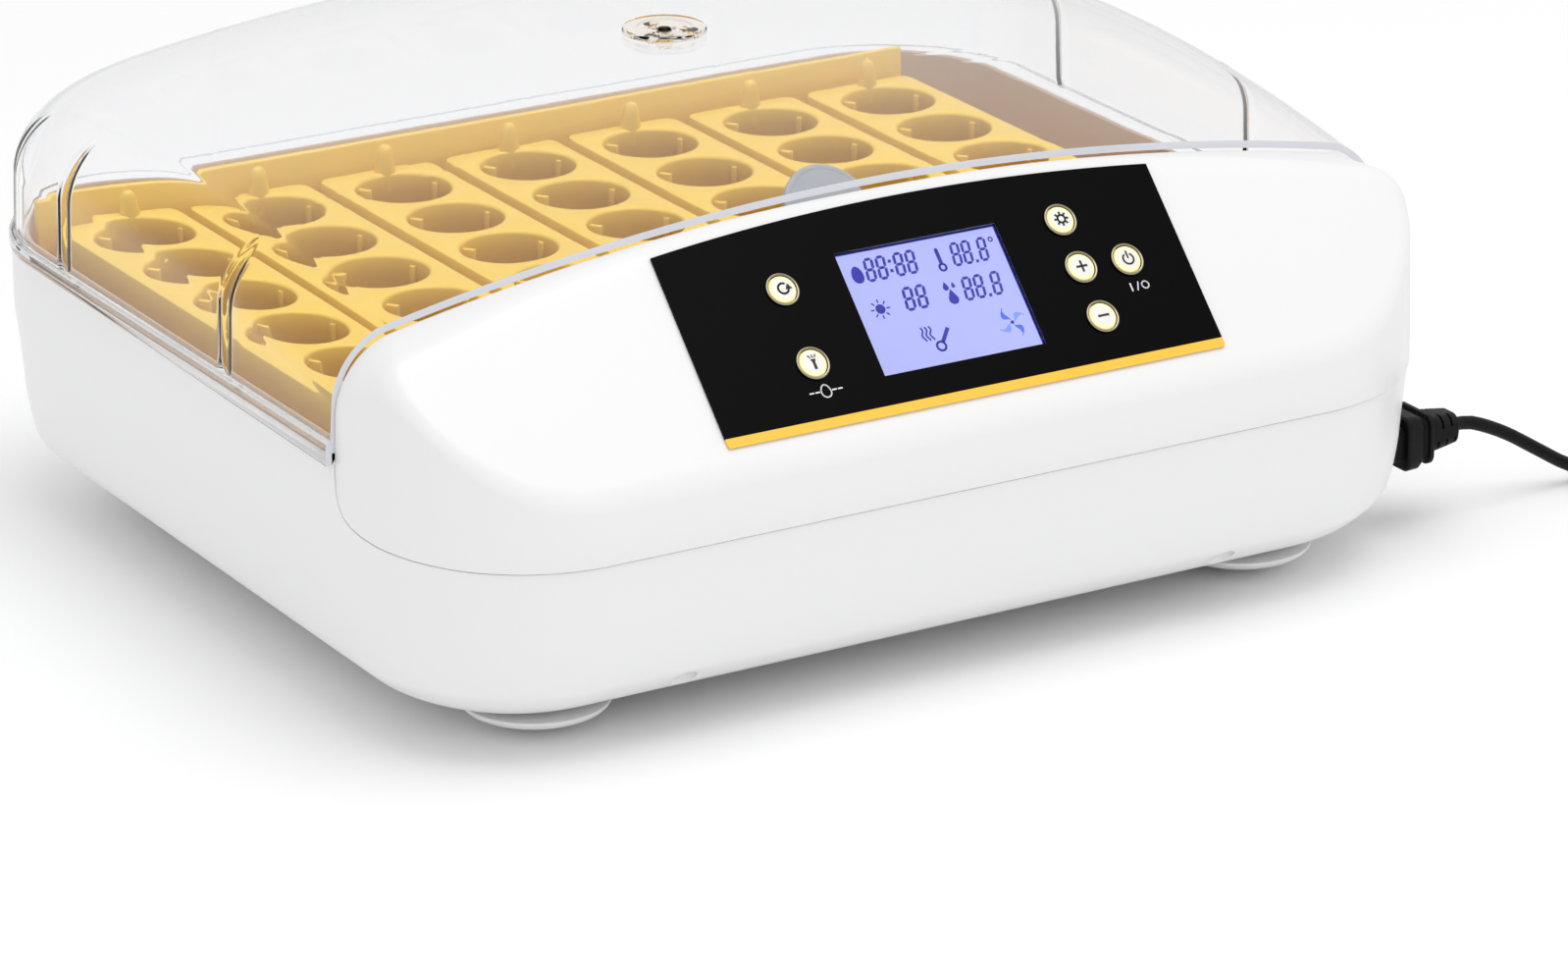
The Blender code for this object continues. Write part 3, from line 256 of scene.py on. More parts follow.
def clear_plastic(name, color, roughness=0.015, ior=1.36):
    """Clear plastic that lets light through to what it covers."""
    found = bpy.data.materials.get(name)
    if found is not None:
        return found
    item = bpy.data.materials.new(name)
    item.use_nodes = True
    tree = item.node_tree
    shader = tree.nodes["Principled BSDF"]
    for key, value in {"Base Color": (*color, 1), "Roughness": roughness, "IOR": ior,
                       "Transmission Weight": 1.0}.items():
        shader.inputs[key].default_value = value
    place = add_node(tree, "ShaderNodeTexCoord")
    ripple = add_node(tree, "ShaderNodeTexNoise", {"Scale": 14.0, "Detail": 2.0})
    bump = add_node(tree, "ShaderNodeBump", {"Strength": 0.12, "Distance": 0.6 * MM})
    through = add_node(tree, "ShaderNodeBsdfTransparent", {"Color": (0.93, 0.94, 0.95, 1)})
    rays = add_node(tree, "ShaderNodeLightPath")
    pick = add_node(tree, "ShaderNodeMixShader")
    leave = tree.nodes["Material Output"]
    wire(tree,
         (place, "Object", ripple, "Vector"), (ripple, "Fac", bump, "Height"),
         (bump, "Normal", shader, "Normal"), (rays, "Is Shadow Ray", pick, 0),
         (shader, 0, pick, 1), (through, 0, pick, 2), (pick, 0, leave, "Surface"))
    return item


PRINTED = {"roughness": 0.4, "depth": 0.0, "drift": 0.0, "edge_amount": 0.0}


def tints():
    return bpy.context.scene.incubator_colours


def sizes():
    return bpy.context.scene.incubator_sizes


def white_finish():
    return moulded("housing white", tints().shell, roughness=0.36, wander=0.1, grain=1600, depth=0.012,
                   drift=0.12, edge_amount=0.4, coat=0.12)


def tray_finish():
    """Yellow of the tray with painted shade: darker and browner towards the bottom of the cells and of
    the gaps between the strips.
    """
    found = bpy.data.materials.get("tray yellow")
    if found is not None:
        return found
    c = tints().tray
    item = moulded("tray yellow", c, tint=(c[0] * 0.9, c[1] * 0.86, c[2] * 0.72),
                   edge=(min(c[0] * 1.06, 1), c[1] * 1.2, c[2] * 1.6), roughness=0.45, wander=0.15,
                   grain=1100, depth=0.03, drift=0.5, edge_amount=0.55)
    tree = item.node_tree
    shader = tree.nodes["Principled BSDF"]
    toned = shader.inputs["Base Color"].links[0].from_socket
    place = add_node(tree, "ShaderNodeTexCoord")
    parts = add_node(tree, "ShaderNodeSeparateXYZ")
    # Painted shade: below the top of the strips the colour is mixed towards a dark brown-gold, standing
    # in for the shade inside the cells.
    level = add_node(tree, "ShaderNodeMapRange", {"From Min": 100 * MM, "From Max": 127.5 * MM})
    blend = add_node(tree, "ShaderNodeMix", {"A": (c[0] * 0.62, c[1] * 0.42, c[2] * 0.22, 1)},
                     data_type="RGBA")
    wire(tree, (place, "Object", parts, "Vector"), (parts, "Z", level, "Value"),
         (level, "Result", blend, "Factor"))
    tree.links.new(toned, blend.inputs["B"])
    wire(tree, (blend, "Result", shader, "Base Color"))
    return item


def tub_finish():
    c = tints().tub
    return moulded("tub beige", c, tint=tuple(v * 0.88 for v in c), roughness=0.5, grain=900,
                   depth=0.03, drift=0.4)


def black_finish():
    return moulded("moulded black", tints().lead, tint=(0.008, 0.008, 0.009), edge=(0.02, 0.02, 0.021),
                   roughness=0.46, wander=0.2, grain=1500, depth=0.06, drift=0.6, edge_amount=0.5,
                   shine=0.12)


def steel_finish():
    return moulded("zinc steel", (0.55, 0.55, 0.57), tint=(0.42, 0.42, 0.44), roughness=0.33,
                   wander=0.3,
                   grain=2600, depth=0.02, metallic=1.0, drift=0.6)


def nylon_finish():
    return moulded("white nylon", (0.74, 0.73, 0.7), roughness=0.5, grain=900, depth=0.03)


def board_finish():
    return moulded("board green", (0.02, 0.16, 0.06), tint=(0.015, 0.09, 0.04), edge=(0.25, 0.2, 0.06),
                   roughness=0.35, grain=700, depth=0.05, drift=0.8)


# ---- mesh helpers -------------------------------------------------------------------------
def mesh_from_faces(name, points, faces):
    mesh = bpy.data.meshes.new(name)
    mesh.from_pydata([tuple(p) for p in points], [], faces)
    work = bmesh.new()
    work.from_mesh(mesh)
    bmesh.ops.remove_doubles(work, verts=work.verts, dist=1e-6)
    bmesh.ops.recalc_face_normals(work, faces=work.faces)
    work.to_mesh(mesh)
    work.free()
    return mesh


def shape(name, mesh):
    item = bpy.data.objects.new(name, mesh)
    bpy.context.scene.collection.objects.link(item)
    return item


def evaluated_mesh(item):
    bpy.context.view_layer.update()
    graph = bpy.context.evaluated_depsgraph_get()
    return bpy.data.meshes.new_from_object(item.evaluated_get(graph))


def settle(item):
    """Replace an object's mesh and modifiers by the mesh they make."""
    mesh = evaluated_mesh(item)
    old = item.data
    item.modifiers.clear()
    item.data = mesh
    mesh.name = item.name
    if old.users == 0:
        bpy.data.meshes.remove(old)
    return item


def finish_piece(item, finishes, body, nodes=(), sharp=35):
    """Give a piece its finish, shading, body and the frame nodes that it stands for."""
    mesh = item.data
    if finishes:
        mesh.materials.clear()
        for finish in finishes:
            mesh.materials.append(finish)
    mesh.shade_smooth()
    mesh.set_sharp_from_angle(angle=math.radians(sharp))
    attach(item, body)
    if nodes:
        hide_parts(*nodes)
    return item


def bevel(item, width, segments=2, angle=40):
    step = item.modifiers.new("edge", "BEVEL")
    step.width = width
    step.segments = segments
    step.limit_method = "ANGLE"
    step.angle_limit = math.radians(angle)
    step.use_clamp_overlap = True
    return settle(item)


def loft(name, rings, cap=True):
    """Skin through rings of equal count, closed at both ends unless told otherwise."""
    count = len(rings[0])
    points = [p for ring in rings for p in ring]
    faces = []
    if cap:
        faces = [tuple(range(count)), tuple(range(len(points) - count, len(points)))]
    for level in range(len(rings) - 1):
        low, high = level * count, (level + 1) * count
        for i in range(count):
            j = (i + 1) % count
            faces.append((low + i, low + j, high + j, high + i))
    return shape(name, mesh_from_faces(name, points, faces))


def block(name, low, high):
    mesh = bpy.data.meshes.new(name)
    work = bmesh.new()
    bmesh.ops.create_cube(work, size=1.0)
    low, high = Vector(low), Vector(high)
    for vert in work.verts:
        vert.co = Vector(low[k] + (vert.co[k] + 0.5) * (high[k] - low[k]) for k in range(3))
    work.to_mesh(mesh)
    work.free()
    return shape(name, mesh)


def turned(name, profile, segments, matrix=None):
    """Solid of revolution about Z from (radius, height) pairs, moved by a matrix."""
    points, faces, loops = [], [], []
    for radius, height in profile:
        if radius == 0:
            loops.append([len(points)])
            points.append(Vector((0, 0, height)))
            continue
        loop = []
        for i in range(segments):
            angle = 2 * math.pi * i / segments
            loop.append(len(points))
            points.append(Vector((radius * math.cos(angle), radius * math.sin(angle), height)))
        loops.append(loop)
    pairs = list(zip(loops, loops[1:]))
    if profile[0][0] and profile[-1][0]:
        pairs.append((loops[-1], loops[0]))
    for one, two in pairs:
        for i in range(segments):
            j = (i + 1) % segments
            if len(one) == 1:
                faces.append((one[0], two[j], two[i]))
            elif len(two) == 1:
                faces.append((one[i], one[j], two[0]))
            else:
                faces.append((one[i], one[j], two[j], two[i]))
    if matrix is not None:
        points = [matrix @ p for p in points]
    return shape(name, mesh_from_faces(name, points, faces))


def rounded_profile(corners, steps=4):
    """(radius, height, rounding) corners to a profile with round corners, all in mm."""
    result = []
    count = len(corners)
    for i, (r, z, rounding) in enumerate(corners):
        here = Vector((r, z))
        if rounding == 0 or i in (0, count - 1):
            result.append((r * MM, z * MM))
            continue
        back = (Vector(corners[i - 1][:2]) - here)
        ahead = (Vector(corners[(i + 1) % count][:2]) - here)
        reach = min(rounding, back.length * 0.49, ahead.length * 0.49)
        one, two = here + back.normalized() * reach, here + ahead.normalized() * reach
        for k in range(steps + 1):
            t = k / steps
            spot = one.lerp(here, t).lerp(here.lerp(two, t), t)
            result.append((spot.x * MM, spot.y * MM))
    return result


def combine(target, tool, operation="DIFFERENCE"):
    step = target.modifiers.new("combine", "BOOLEAN")
    step.operation = operation
    step.solver = "EXACT"
    step.object = tool
    settle(target)
    bpy.data.objects.remove(tool, do_unlink=True)
    work = bmesh.new()
    work.from_mesh(target.data)
    bmesh.ops.remove_doubles(work, verts=work.verts, dist=0.002 * MM)
    bmesh.ops.dissolve_degenerate(work, edges=work.edges, dist=0.002 * MM)
    work.to_mesh(target.data)
    work.free()
    return target


def merged_copy(name, node):
    """The merged mesh of a frame node as a new object, with its flat faces whole again."""
    work = bmesh.new()
    work.from_mesh(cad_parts[node].data)
    bmesh.ops.remove_doubles(work, verts=work.verts, dist=0.001 * MM)
    bmesh.ops.dissolve_limit(work, angle_limit=math.radians(0.5), verts=work.verts, edges=work.edges)
    mesh = bpy.data.meshes.new(name)
    work.to_mesh(mesh)
    work.free()
    return shape(name, mesh)


def softened(name, node, width, finish, body):
    """A frame node's shape with small round edges."""
    item = bevel(merged_copy(name, node), width)
    return finish_piece(item, [finish], body, [node])


# ---- repeats by geometry nodes ------------------------------------------------------------
def repeat_tree():
    """Copies of a piece on every point of the host mesh, turned as asked and made real."""
    tree = bpy.data.node_groups.get("repeat on points")
    if tree is not None:
        return tree
    tree = bpy.data.node_groups.new("repeat on points", "GeometryNodeTree")
    group_socket(tree, "Geometry", "INPUT", "NodeSocketGeometry")
    group_socket(tree, "Piece", "INPUT", "NodeSocketObject")
    group_socket(tree, "Turn", "INPUT", "NodeSocketVector")
    group_socket(tree, "Finish", "INPUT", "NodeSocketMaterial")
    group_socket(tree, "Geometry", "OUTPUT", "NodeSocketGeometry")
    entry = add_node(tree, "NodeGroupInput")
    leave = add_node(tree, "NodeGroupOutput")
    info = add_node(tree, "GeometryNodeObjectInfo")
    place = add_node(tree, "GeometryNodeInstanceOnPoints")
    turn = add_node(tree, "FunctionNodeEulerToRotation")
    real = add_node(tree, "GeometryNodeRealizeInstances")
    paint = add_node(tree, "GeometryNodeSetMaterial")
    wire(tree,
         (entry, "Geometry", place, "Points"), (entry, "Piece", info, "Object"),
         (info, "Geometry", place, "Instance"), (entry, "Turn", turn, "Euler"),
         (turn, "Rotation", place, "Rotation"), (place, "Instances", real, "Geometry"),
         (real, "Geometry", paint, "Geometry"), (entry, "Finish", paint, "Material"),
         (paint, "Geometry", leave, "Geometry"))
    return tree


def repeated(name, piece, spots, finish, turn=(0, 0, 0)):
    """One mesh with a copy of the piece at each spot."""
    host_mesh = bpy.data.meshes.new(name)
    host_mesh.from_pydata([tuple(s) for s in spots], [], [])
    host = shape(name, host_mesh)
    step = host.modifiers.new("repeat", "NODES")
    tree = repeat_tree()
    step.node_group = tree
    keys = {s.name: s.identifier for s in tree.interface.items_tree if s.in_out == "INPUT"}
    step[keys["Piece"]] = piece
    step[keys["Turn"]] = turn
    step[keys["Finish"]] = finish
    settle(host)
    bpy.data.objects.remove(piece, do_unlink=True)
    return host


# ---- outlines and covers ------------------------------------------------------------------
def smooth_curve(values, parts):
    """Points of a Catmull-Rom curve through the values."""
    points = [Vector(v) for v in values]
    points = [2 * points[0] - points[1]] + points + [2 * points[-1] - points[-2]]
    result = []
    for a, b, c, d in zip(points, points[1:], points[2:], points[3:]):
        for k in range(parts):
            t = k / parts
            result.append(0.5 * ((2 * b) + (c - a) * t + (2 * a - 5 * b + 4 * c - d) * t ** 2
                                 + (3 * b - a - 3 * c + d) * t ** 3))
    return result + [points[-2]]


def even_points(line, count):
    """The same line with evenly spaced points."""
    lengths = [0]
    for one, two in zip(line, line[1:]):
        lengths.append(lengths[-1] + (two - one).length)
    result, place = [], 0
    for i in range(count):
        goal = lengths[-1] * i / (count - 1)
        while place < len(lengths) - 2 and lengths[place + 1] < goal:
            place += 1
        span = max(lengths[place + 1] - lengths[place], 1e-12)
        result.append(line[place].lerp(line[place + 1], (goal - lengths[place]) / span))
    return result


def loop_path(half, half_back, front, back, corner_front, corner_back, inset=0.0):
    """Rounded plan outline of the housing, starting at its front middle."""
    def width(y):
        t = min(max((y - SPLIT) / (BODY_BACK - SPLIT), 0), 1)
        return half + (half_back - half) * t - inset

    straight, arc, side = 10, 20, 20
    points = []
    centre_x, centre_y = half - corner_front, front + corner_front
    radius = corner_front - inset
    for i in range(straight):
        points.append((centre_x * i / straight, front + inset))
    for i in range(arc + 1):
        angle = math.pi / 2 * i / arc
        points.append((centre_x + radius * math.sin(angle), centre_y - radius * math.cos(angle)))
    centre_x, centre_y = half_back - corner_back, back - corner_back
    start = front + corner_front
    for i in range(1, side):
        y = start + (centre_y - start) * i / side
        points.append((width(y), y))
    radius = corner_back - inset
    for i in range(arc + 1):
        angle = math.pi / 2 * i / arc
        points.append((centre_x + radius * math.cos(angle), centre_y + radius * math.sin(angle)))
    for i in range(straight - 1, -1, -1):
        points.append((centre_x * i / straight, back - inset))
    return points + [(-x, y) for x, y in reversed(points[1:-1])]


class Cover:
    """Arched cover over a U-shaped outline: straight walls, a rounded shoulder and a crown."""

    def __init__(self, half, start, end, corner, top, side, arc, ends, dent=None):
        self.half, self.start, self.end, self.corner, self.top = half, start, end, corner, top
        self.side, self.arc, self.ends, self.dent = side, arc, ends, dent
        self.plain = self.half_path([0.0] * (len(side) + arc + 1 + len(ends)))

    def half_path(self, insets):
        toward = 1 if self.end > self.start else -1
        centre_x, centre_y = self.half - self.corner, self.end - toward * self.corner
        points = []
        for t in self.side:
            inset = insets[len(points)]
            points.append((self.half - inset, self.start + (centre_y - self.start) * t))
        for i in range(self.arc + 1):
            angle = math.pi / 2 * i / self.arc
            radius = self.corner - insets[len(points)]
            points.append((centre_x + radius * math.cos(angle),
                           centre_y + toward * radius * math.sin(angle)))
        for t in self.ends:
            inset = insets[len(points)]
            points.append((centre_x * (1 - t), self.end - toward * inset))
        return points

    def ring(self, inset, height=None, radius=None, turn=0.0, share=0.0):
        """One ring of the cover; with a radius it lies on the shoulder, turned from the wall."""
        insets = [inset] * len(self.plain)
        if self.dent is not None and share > 0:
            insets = [inset + self.dent(x, y, share) for x, y in self.plain]
        if radius is None:
            half = [Vector((x, y, height(x, y) if callable(height) else height))
                    for x, y in self.half_path(insets)]
        else:
            radii = [radius(y) for x, y in self.half_path(insets)]
            insets = [i + r * (1 - math.cos(turn)) for i, r in zip(insets, radii)]
            half = [Vector((x, y, self.top(x, y) - r * (1 - math.sin(turn))))
                    for (x, y), r in zip(self.half_path(insets), radii)]
        return half + [Vector((-p.x, p.y, p.z)) for p in reversed(half[:-1])]

    def skin(self, rings):
        """Points and faces of the rings and of the crown, and the open front edge."""
        total = len(rings[0])
        points = [p for ring in rings for p in ring]
        faces = []
        for level in range(len(rings) - 1):
            low, high = level * total, (level + 1) * total
            for i in range(total - 1):
                faces.append((low + i, low + i + 1, high + i + 1, high + i))
        last = (len(rings) - 1) * total
        rows = len(self.side) + self.arc // 2
        columns = total - 1 - 2 * rows
        grid = {}
        for j in range(rows + 1):
            grid[0, j] = last + j
            grid[columns, j] = last + total - 1 - j
        for i in range(1, columns):
            grid[i, rows] = last + rows + i
        right, left = points[grid[0, 0]], points[grid[columns, 0]]
        far_right, far_left = points[grid[0, rows]], points[grid[columns, rows]]
        for i in range(1, columns):
            for j in range(rows):
                u = i / columns
                one, two = points[grid[0, j]], points[grid[columns, j]]
                v = (one.y - right.y) / (far_right.y - right.y)
                low, high = right.lerp(left, u), points[grid[i, rows]]
                flat = low.lerp(far_right.lerp(far_left, u), v)
                spot = low.lerp(high, v) + one.lerp(two, u) - flat
                grid[i, j] = len(points)
                points.append(Vector((spot.x, spot.y, self.top(spot.x, spot.y))))
        for i in range(columns):
            for j in range(rows):
                faces.append((grid[i, j], grid[i + 1, j], grid[i + 1, j + 1], grid[i, j + 1]))
        front = [level * total for level in range(len(rings))]
        front += [grid[i, 0] for i in range(1, columns)]
        front += [level * total + total - 1 for level in reversed(range(len(rings)))]
        return points, faces, front

    def solid(self, name, rings):
        points, faces, front = self.skin(rings)
        faces.append(tuple(front))
        faces.append(tuple(range(len(rings[0]))))
        return shape(name, mesh_from_faces(name, points, faces))


def thin_shell(name, outer, inner):
    """Closed thin cover from two skins of equal layout."""
    points, faces, _ = outer
    shift = len(points)
    faces = faces + [tuple(shift + i for i in reversed(face)) for face in inner[1]]
    edges = {}
    for face in outer[1]:
        for a, b in zip(face, face[1:] + face[:1]):
            key = (min(a, b), max(a, b))
            edges[key] = edges.get(key, 0) + 1
    for (a, b), uses in edges.items():
        if uses == 1:
            faces.append((a, b, b + shift, a + shift))
    return shape(name, mesh_from_faces(name, points + inner[0], faces))


TURNS = [math.radians(90 * i / 10) for i in range(11)]
LID_TURNS = [math.radians(90 * i / 26) for i in range(27)]
SHOULDER = 25 * MM
ARCH_RADIUS = 1100 * MM


def even(count, last=False):
    return [i / count for i in range(1 if last else 0, count + 1 if last else count)]


# ---- operators: camera and stage ----------------------------------------------------------
class INCUBATOR_OT_stage(bpy.types.Operator):
    """Pale floor, soft studio light and the camera"""
    bl_idname = "incubator.stage"
    bl_label = "Stage"

    def execute(self, context):
        scene = context.scene
        scene.view_settings.view_transform = "Standard"
        eye = Vector((-1.4373, -2.4761, 1.0879))
        right = Vector((0.85845301, -0.51288837, -0.00198513))
        up = Vector((0.18106751, 0.29943812, 0.93677712))
        ahead = Vector((0.47986767, 0.80453858, -0.34992097))
        data = bpy.data.cameras.new("camera")
        data.lens = 162.46
        data.sensor_width = 36
        data.clip_end = 20
        camera = bpy.data.objects.new("camera", data)
        scene.collection.objects.link(camera)
        turn = Matrix((right, up, -ahead)).transposed().to_4x4()
        camera.matrix_world = Matrix.Translation(eye) @ turn
        scene.camera = camera

        floor = shape("floor", bpy.data.meshes.new("floor"))
        work = bmesh.new()
        bmesh.ops.create_grid(work, x_segments=8, y_segments=8, size=12)
        work.to_mesh(floor.data)
        work.free()
        floor.data.materials.append(moulded("floor pale", (0.97, 0.97, 0.97), roughness=0.8, depth=0.0,
                                            drift=0.02, edge_amount=0.0))

        world = bpy.data.worlds.new("studio")
        scene.world = world
        world.use_nodes = True
        background = world.node_tree.nodes["Background"]
        background.inputs["Color"].default_value = (1.0, 1.0, 1.0, 1)
        background.inputs["Strength"].default_value = 0.80
        lamps = [  # name, place, size, watts, aim
            ("top", (0.2, -0.7, 2.7), 2.4, 27, (0, 0, 0.1)),
        ]
        for name, spot, size, watts, aim in lamps:
            light = bpy.data.lights.new(name, "AREA")
            light.shape = "DISK"
            light.size = size
            light.energy = watts
            lamp = bpy.data.objects.new(name, light)
            scene.collection.objects.link(lamp)
            lamp.location = spot
            lamp.rotation_euler = (Vector(aim) - Vector(spot)).to_track_quat("-Z", "Y").to_euler()
        return {"FINISHED"}


# ---- operators: lead ----------------------------------------------------------------------
def coil_route(middle, outer):
    """Three turns inwards below and two and a quarter outwards above, wound clockwise."""
    pitch = 6.1
    low, high = 4.3, 10.4
    points = []
    steps = 36
    turns = 5.25
    for k in range(int(turns * steps) + 1):
        turn, share = divmod(k / steps, 1.0)
        in_step = min(max((share - 5 / 6) * 6, 0), 1)
        rise_step = min(max((share - 4 / 6) * 6, 0), 1)
        out_step = min(max((share - 3 / 6) * 6, 0), 1)
        ease = [s * s * (3 - 2 * s) for s in (in_step, rise_step, out_step)]
        if turn < 2:
            radius, height = outer - pitch * (turn + ease[0]), low
        elif turn < 3:
            radius, height = outer - 2 * pitch, low + (high - low) * ease[1]
        elif turn < 5:
            radius, height = outer - pitch * (2 - (turn - 3) - ease[2]), high
        else:
            radius, height = outer, high
        angle = math.pi / 2 - 2 * math.pi * k / steps
        points.append(Vector((middle.x / MM + radius * math.cos(angle),
                              middle.y / MM + radius * math.sin(angle), height)))
    return points


class INCUBATOR_OT_lead(bpy.types.Operator):
    """Mains lead with its coil, tie, appliance connector and wall plug"""
    bl_idname = "incubator.lead"
    bl_label = "Mains lead"

    def execute(self, context):
        diameter = sizes().cord_diameter
        black = black_finish()
        middle = (COIL_LOW + COIL_HIGH) / 2
        outer = (COIL_HIGH.x - middle.x) / MM - 3.4
        lead = even_points(smooth_curve(LEAD_ROUTE, 12), 22)
        coil = coil_route(middle, outer)
        tail = even_points(smooth_curve(TAIL_ROUTE, 12), 10)
        route = [p * MM for p in lead + coil + tail]
        curve = bpy.data.curves.new("mains_lead", "CURVE")
        curve.dimensions = "3D"
        curve.bevel_depth = diameter / 2
        curve.bevel_resolution = 5
        curve.use_fill_caps = True
        spline = curve.splines.new("POLY")
        spline.points.add(len(route) - 1)
        for point, spot in zip(spline.points, route):
            point.co = (*spot, 1)
        spline.use_smooth = True
        curve.materials.append(black)
        cord = bpy.data.objects.new("mains_lead", curve)
        context.scene.collection.objects.link(cord)
        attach(cord, "housing")
        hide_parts("mains_cable", "cable_coil", "plug_tail")
        plug = self.appliance_plug(black)
        wall = self.wall_plug(black)
        tie = softened("lead_tie", "coil_tie", 0.3 * MM, black, "housing")
        return {"FINISHED"}

    def appliance_plug(self, black):
        """Moulded connector: body, rounded collar and a slotted strain relief."""
        face = PLUG_LOW.x + 14 * MM
        middle = (PLUG_LOW + PLUG_HIGH) / 2

        def section(x, half_y, half_z, radius):
            points = []
            for quarter, (sy, sz) in enumerate(((1, 1), (-1, 1), (-1, -1), (1, -1))):
                for k in range(9):
                    angle = math.pi / 2 * (quarter + k / 8)
                    y = sy * (half_y - radius) + radius * math.cos(angle)
                    z = sz * (half_z - radius) + radius * math.sin(angle)
                    points.append(Vector((face + x * MM, middle.y + y * MM, INLET_Z + z * MM)))
            return points

        spec = [  # from the inlet face, half width, half height, corner
            (-13.7, 11.6, 7.6, 3), (1.4, 11.8, 7.8, 3), (12.2, 11.8, 7.8, 3), (12.6, 14.2, 11.4, 4.4),
            (13.6, 14.8, 12.2, 5), (19, 14.6, 12.0, 5), (21.5, 13.4, 10.8, 5), (22.6, 12.4, 9.6, 4.6),
            (24.4, 12.4, 9.6, 4.6), (25, 13.6, 11.2, 5), (26.8, 13.6, 11.2, 5), (27.6, 12.6, 10.2, 5),
            (28, 9.8, 8.2, 4.6), (31, 9.4, 8.0, 4.6), (38, 8.4, 7.4, 4.6), (44, 7.4, 6.8, 4.6),
            (45.4, 5.9, 5.6, 4.6), (46, 4.6, 4.6, 4.2)]
        plug = loft("appliance_plug", [section(*s) for s in spec])
        for x, side in ((32.4, -1), (34.8, 1), (37.4, -1), (40.0, 1), (42.4, -1)):
            low = INLET_Z + (2.6 * MM if side > 0 else -12 * MM)
            high = INLET_Z + (12 * MM if side > 0 else -2.6 * MM)
            for lower, upper in ((middle.y - 14 * MM, middle.y - 3.2 * MM),
                                 (middle.y + 3.2 * MM, middle.y + 14 * MM)):
                combine(plug, block("slot", (face + (x - 0.6) * MM, lower, low),
                                    (face + (x + 0.6) * MM, upper, high)))
        return finish_piece(plug, [black], "housing", ["plug_c13"], sharp=30)

    def wall_plug(self, black):
        """Round two-pin wall plug with finger rings."""
        back = WALL_PLUG_HIGH.y
        middle = (WALL_PLUG_LOW + WALL_PLUG_HIGH) / 2
        place = Matrix.Translation((middle.x, back, middle.z)) @ Matrix.Rotation(math.pi / 2, 4, "X")
        profile = rounded_profile([
            (0, 0.2, 0), (5, 0.2, 1), (6.4, 7, 3), (9, 9, 2), (9, 10.4, 0.6), (8.6, 10.8, 0.4),
            (12.6, 12.6, 2),
            (15, 15, 3), (18.9, 20, 4), (18.9, 24, 0.4), (18.2, 24.6, 0.4), (18.2, 26, 0.4),
            (18.9, 26.6, 0.4),
            (18.9, 37.5, 1.2), (17.2, 39.8, 1.2), (0, 39.8, 0)])
        plug = turned("plug_for_wall", profile, 56, place)
        steel = steel_finish()
        pins = []
        for dx in (-9.5, 9.5):
            pin_profile = rounded_profile([(0, 38, 0), (2.4, 38, 0.2), (2.4, 56.5, 1.4), (0, 58.9, 0)])
            pins.append(turned("pin", pin_profile, 24, place @ Matrix.Translation((dx * MM, 0, 0))))
        for pin in pins:
            pin.data.materials.append(steel)
        plug.data.materials.append(black)
        joined = join_meshes(plug, pins)
        return finish_piece(joined, None, "housing", ["wall_plug"])


def join_meshes(target, others):
    """One object from several, each keeping its own finish."""
    work = bmesh.new()
    work.from_mesh(target.data)
    finishes = list(target.data.materials)
    for other in others:
        shift = {}
        for index, finish in enumerate(other.data.materials):
            if finish not in finishes:
                finishes.append(finish)
            shift[index] = finishes.index(finish)
        before = len(work.faces)
        work.from_mesh(other.data)
        work.faces.ensure_lookup_table()
        for face in work.faces[before:]:
            face.material_index = shift.get(face.material_index, 0)
        bpy.data.objects.remove(other, do_unlink=True)
    work.to_mesh(target.data)
    work.free()
    for finish in finishes[len(target.data.materials):]:
        target.data.materials.append(finish)
    return target


# ---- operators: housing -------------------------------------------------------------------
BASE_PROFILE = [  # height and inset of the outer wall, bottom to top, mm
    (8, 76), (9.8, 65), (11.6, 50), (15, 36), (21, 22.5), (27, 14.5), (35, 7.6), (51, 4.1), (63, 3.0),
    (78, 1.7), (93, 0), (121, 0)]
SEAM = [          # parting line of base and console seen from the side: y, z in mm
    (-221, 87), (-201, 88.2), (-182, 90), (-169, 91.7), (-158, 94), (-151, 96.2), (-146, 99),
    (-142.6, 103),
    (-140.6, 108)]
BEYOND = 300
CORNER_FRONT = 80 * MM
CORNER_BACK = 66 * MM
FOOT_X, FOOT_FRONT_Y = (FOOT_LOW.x + FOOT_HIGH.x) / 2, (FOOT_LOW.y + FOOT_HIGH.y) / 2
FOOT_BACK_Y = (FOOT_BACK_LOW.y + FOOT_BACK_HIGH.y) / 2
SCREW_X, SCREW_FRONT_Y = (SCREW_LOW.x + SCREW_HIGH.x) / 2, (SCREW_LOW.y + SCREW_HIGH.y) / 2
SCREW_BACK_Y = (SCREW_BACK_LOW.y + SCREW_BACK_HIGH.y) / 2
SCREW_SEAT = SCREW_LOW.z


def body_ring(z, inset):
    front, back = (max(corner, inset + 4 * MM) for corner in (CORNER_FRONT, CORNER_BACK))
    path = loop_path(BODY_HALF, BODY_HALF - 1.5 * MM, FRONT, BODY_BACK, front, back, inset)
    return [Vector((x, y, z)) for x, y in path]


def base_solid(name, offset, top):
    curve = smooth_curve([(z, inset, 0) for z, inset in BASE_PROFILE[:-1]], 3)
    rings = [body_ring(p.x * MM + offset, max(p.y, 0) * MM + offset) for p in curve]
    rings.append(body_ring(top, offset))
    return loft(name, rings)


def seam_cutter(outline):
    return loft("seam", [[Vector((x * MM, y * MM, z * MM)) for y, z in outline]
                         for x in (-BEYOND, BEYOND)])


def rod(name, centre, radius, length, axis="Z", segments=40):
    turn = {"Z": Matrix.Identity(4), "Y": Matrix.Rotation(-math.pi / 2, 4, "X"),
            "X": Matrix.Rotation(math.pi / 2, 4, "Y")}[axis]
    return turned(name, [(0, 0), (radius, 0), (radius, length), (0, length)], segments,
                  Matrix.Translation(centre) @ turn)


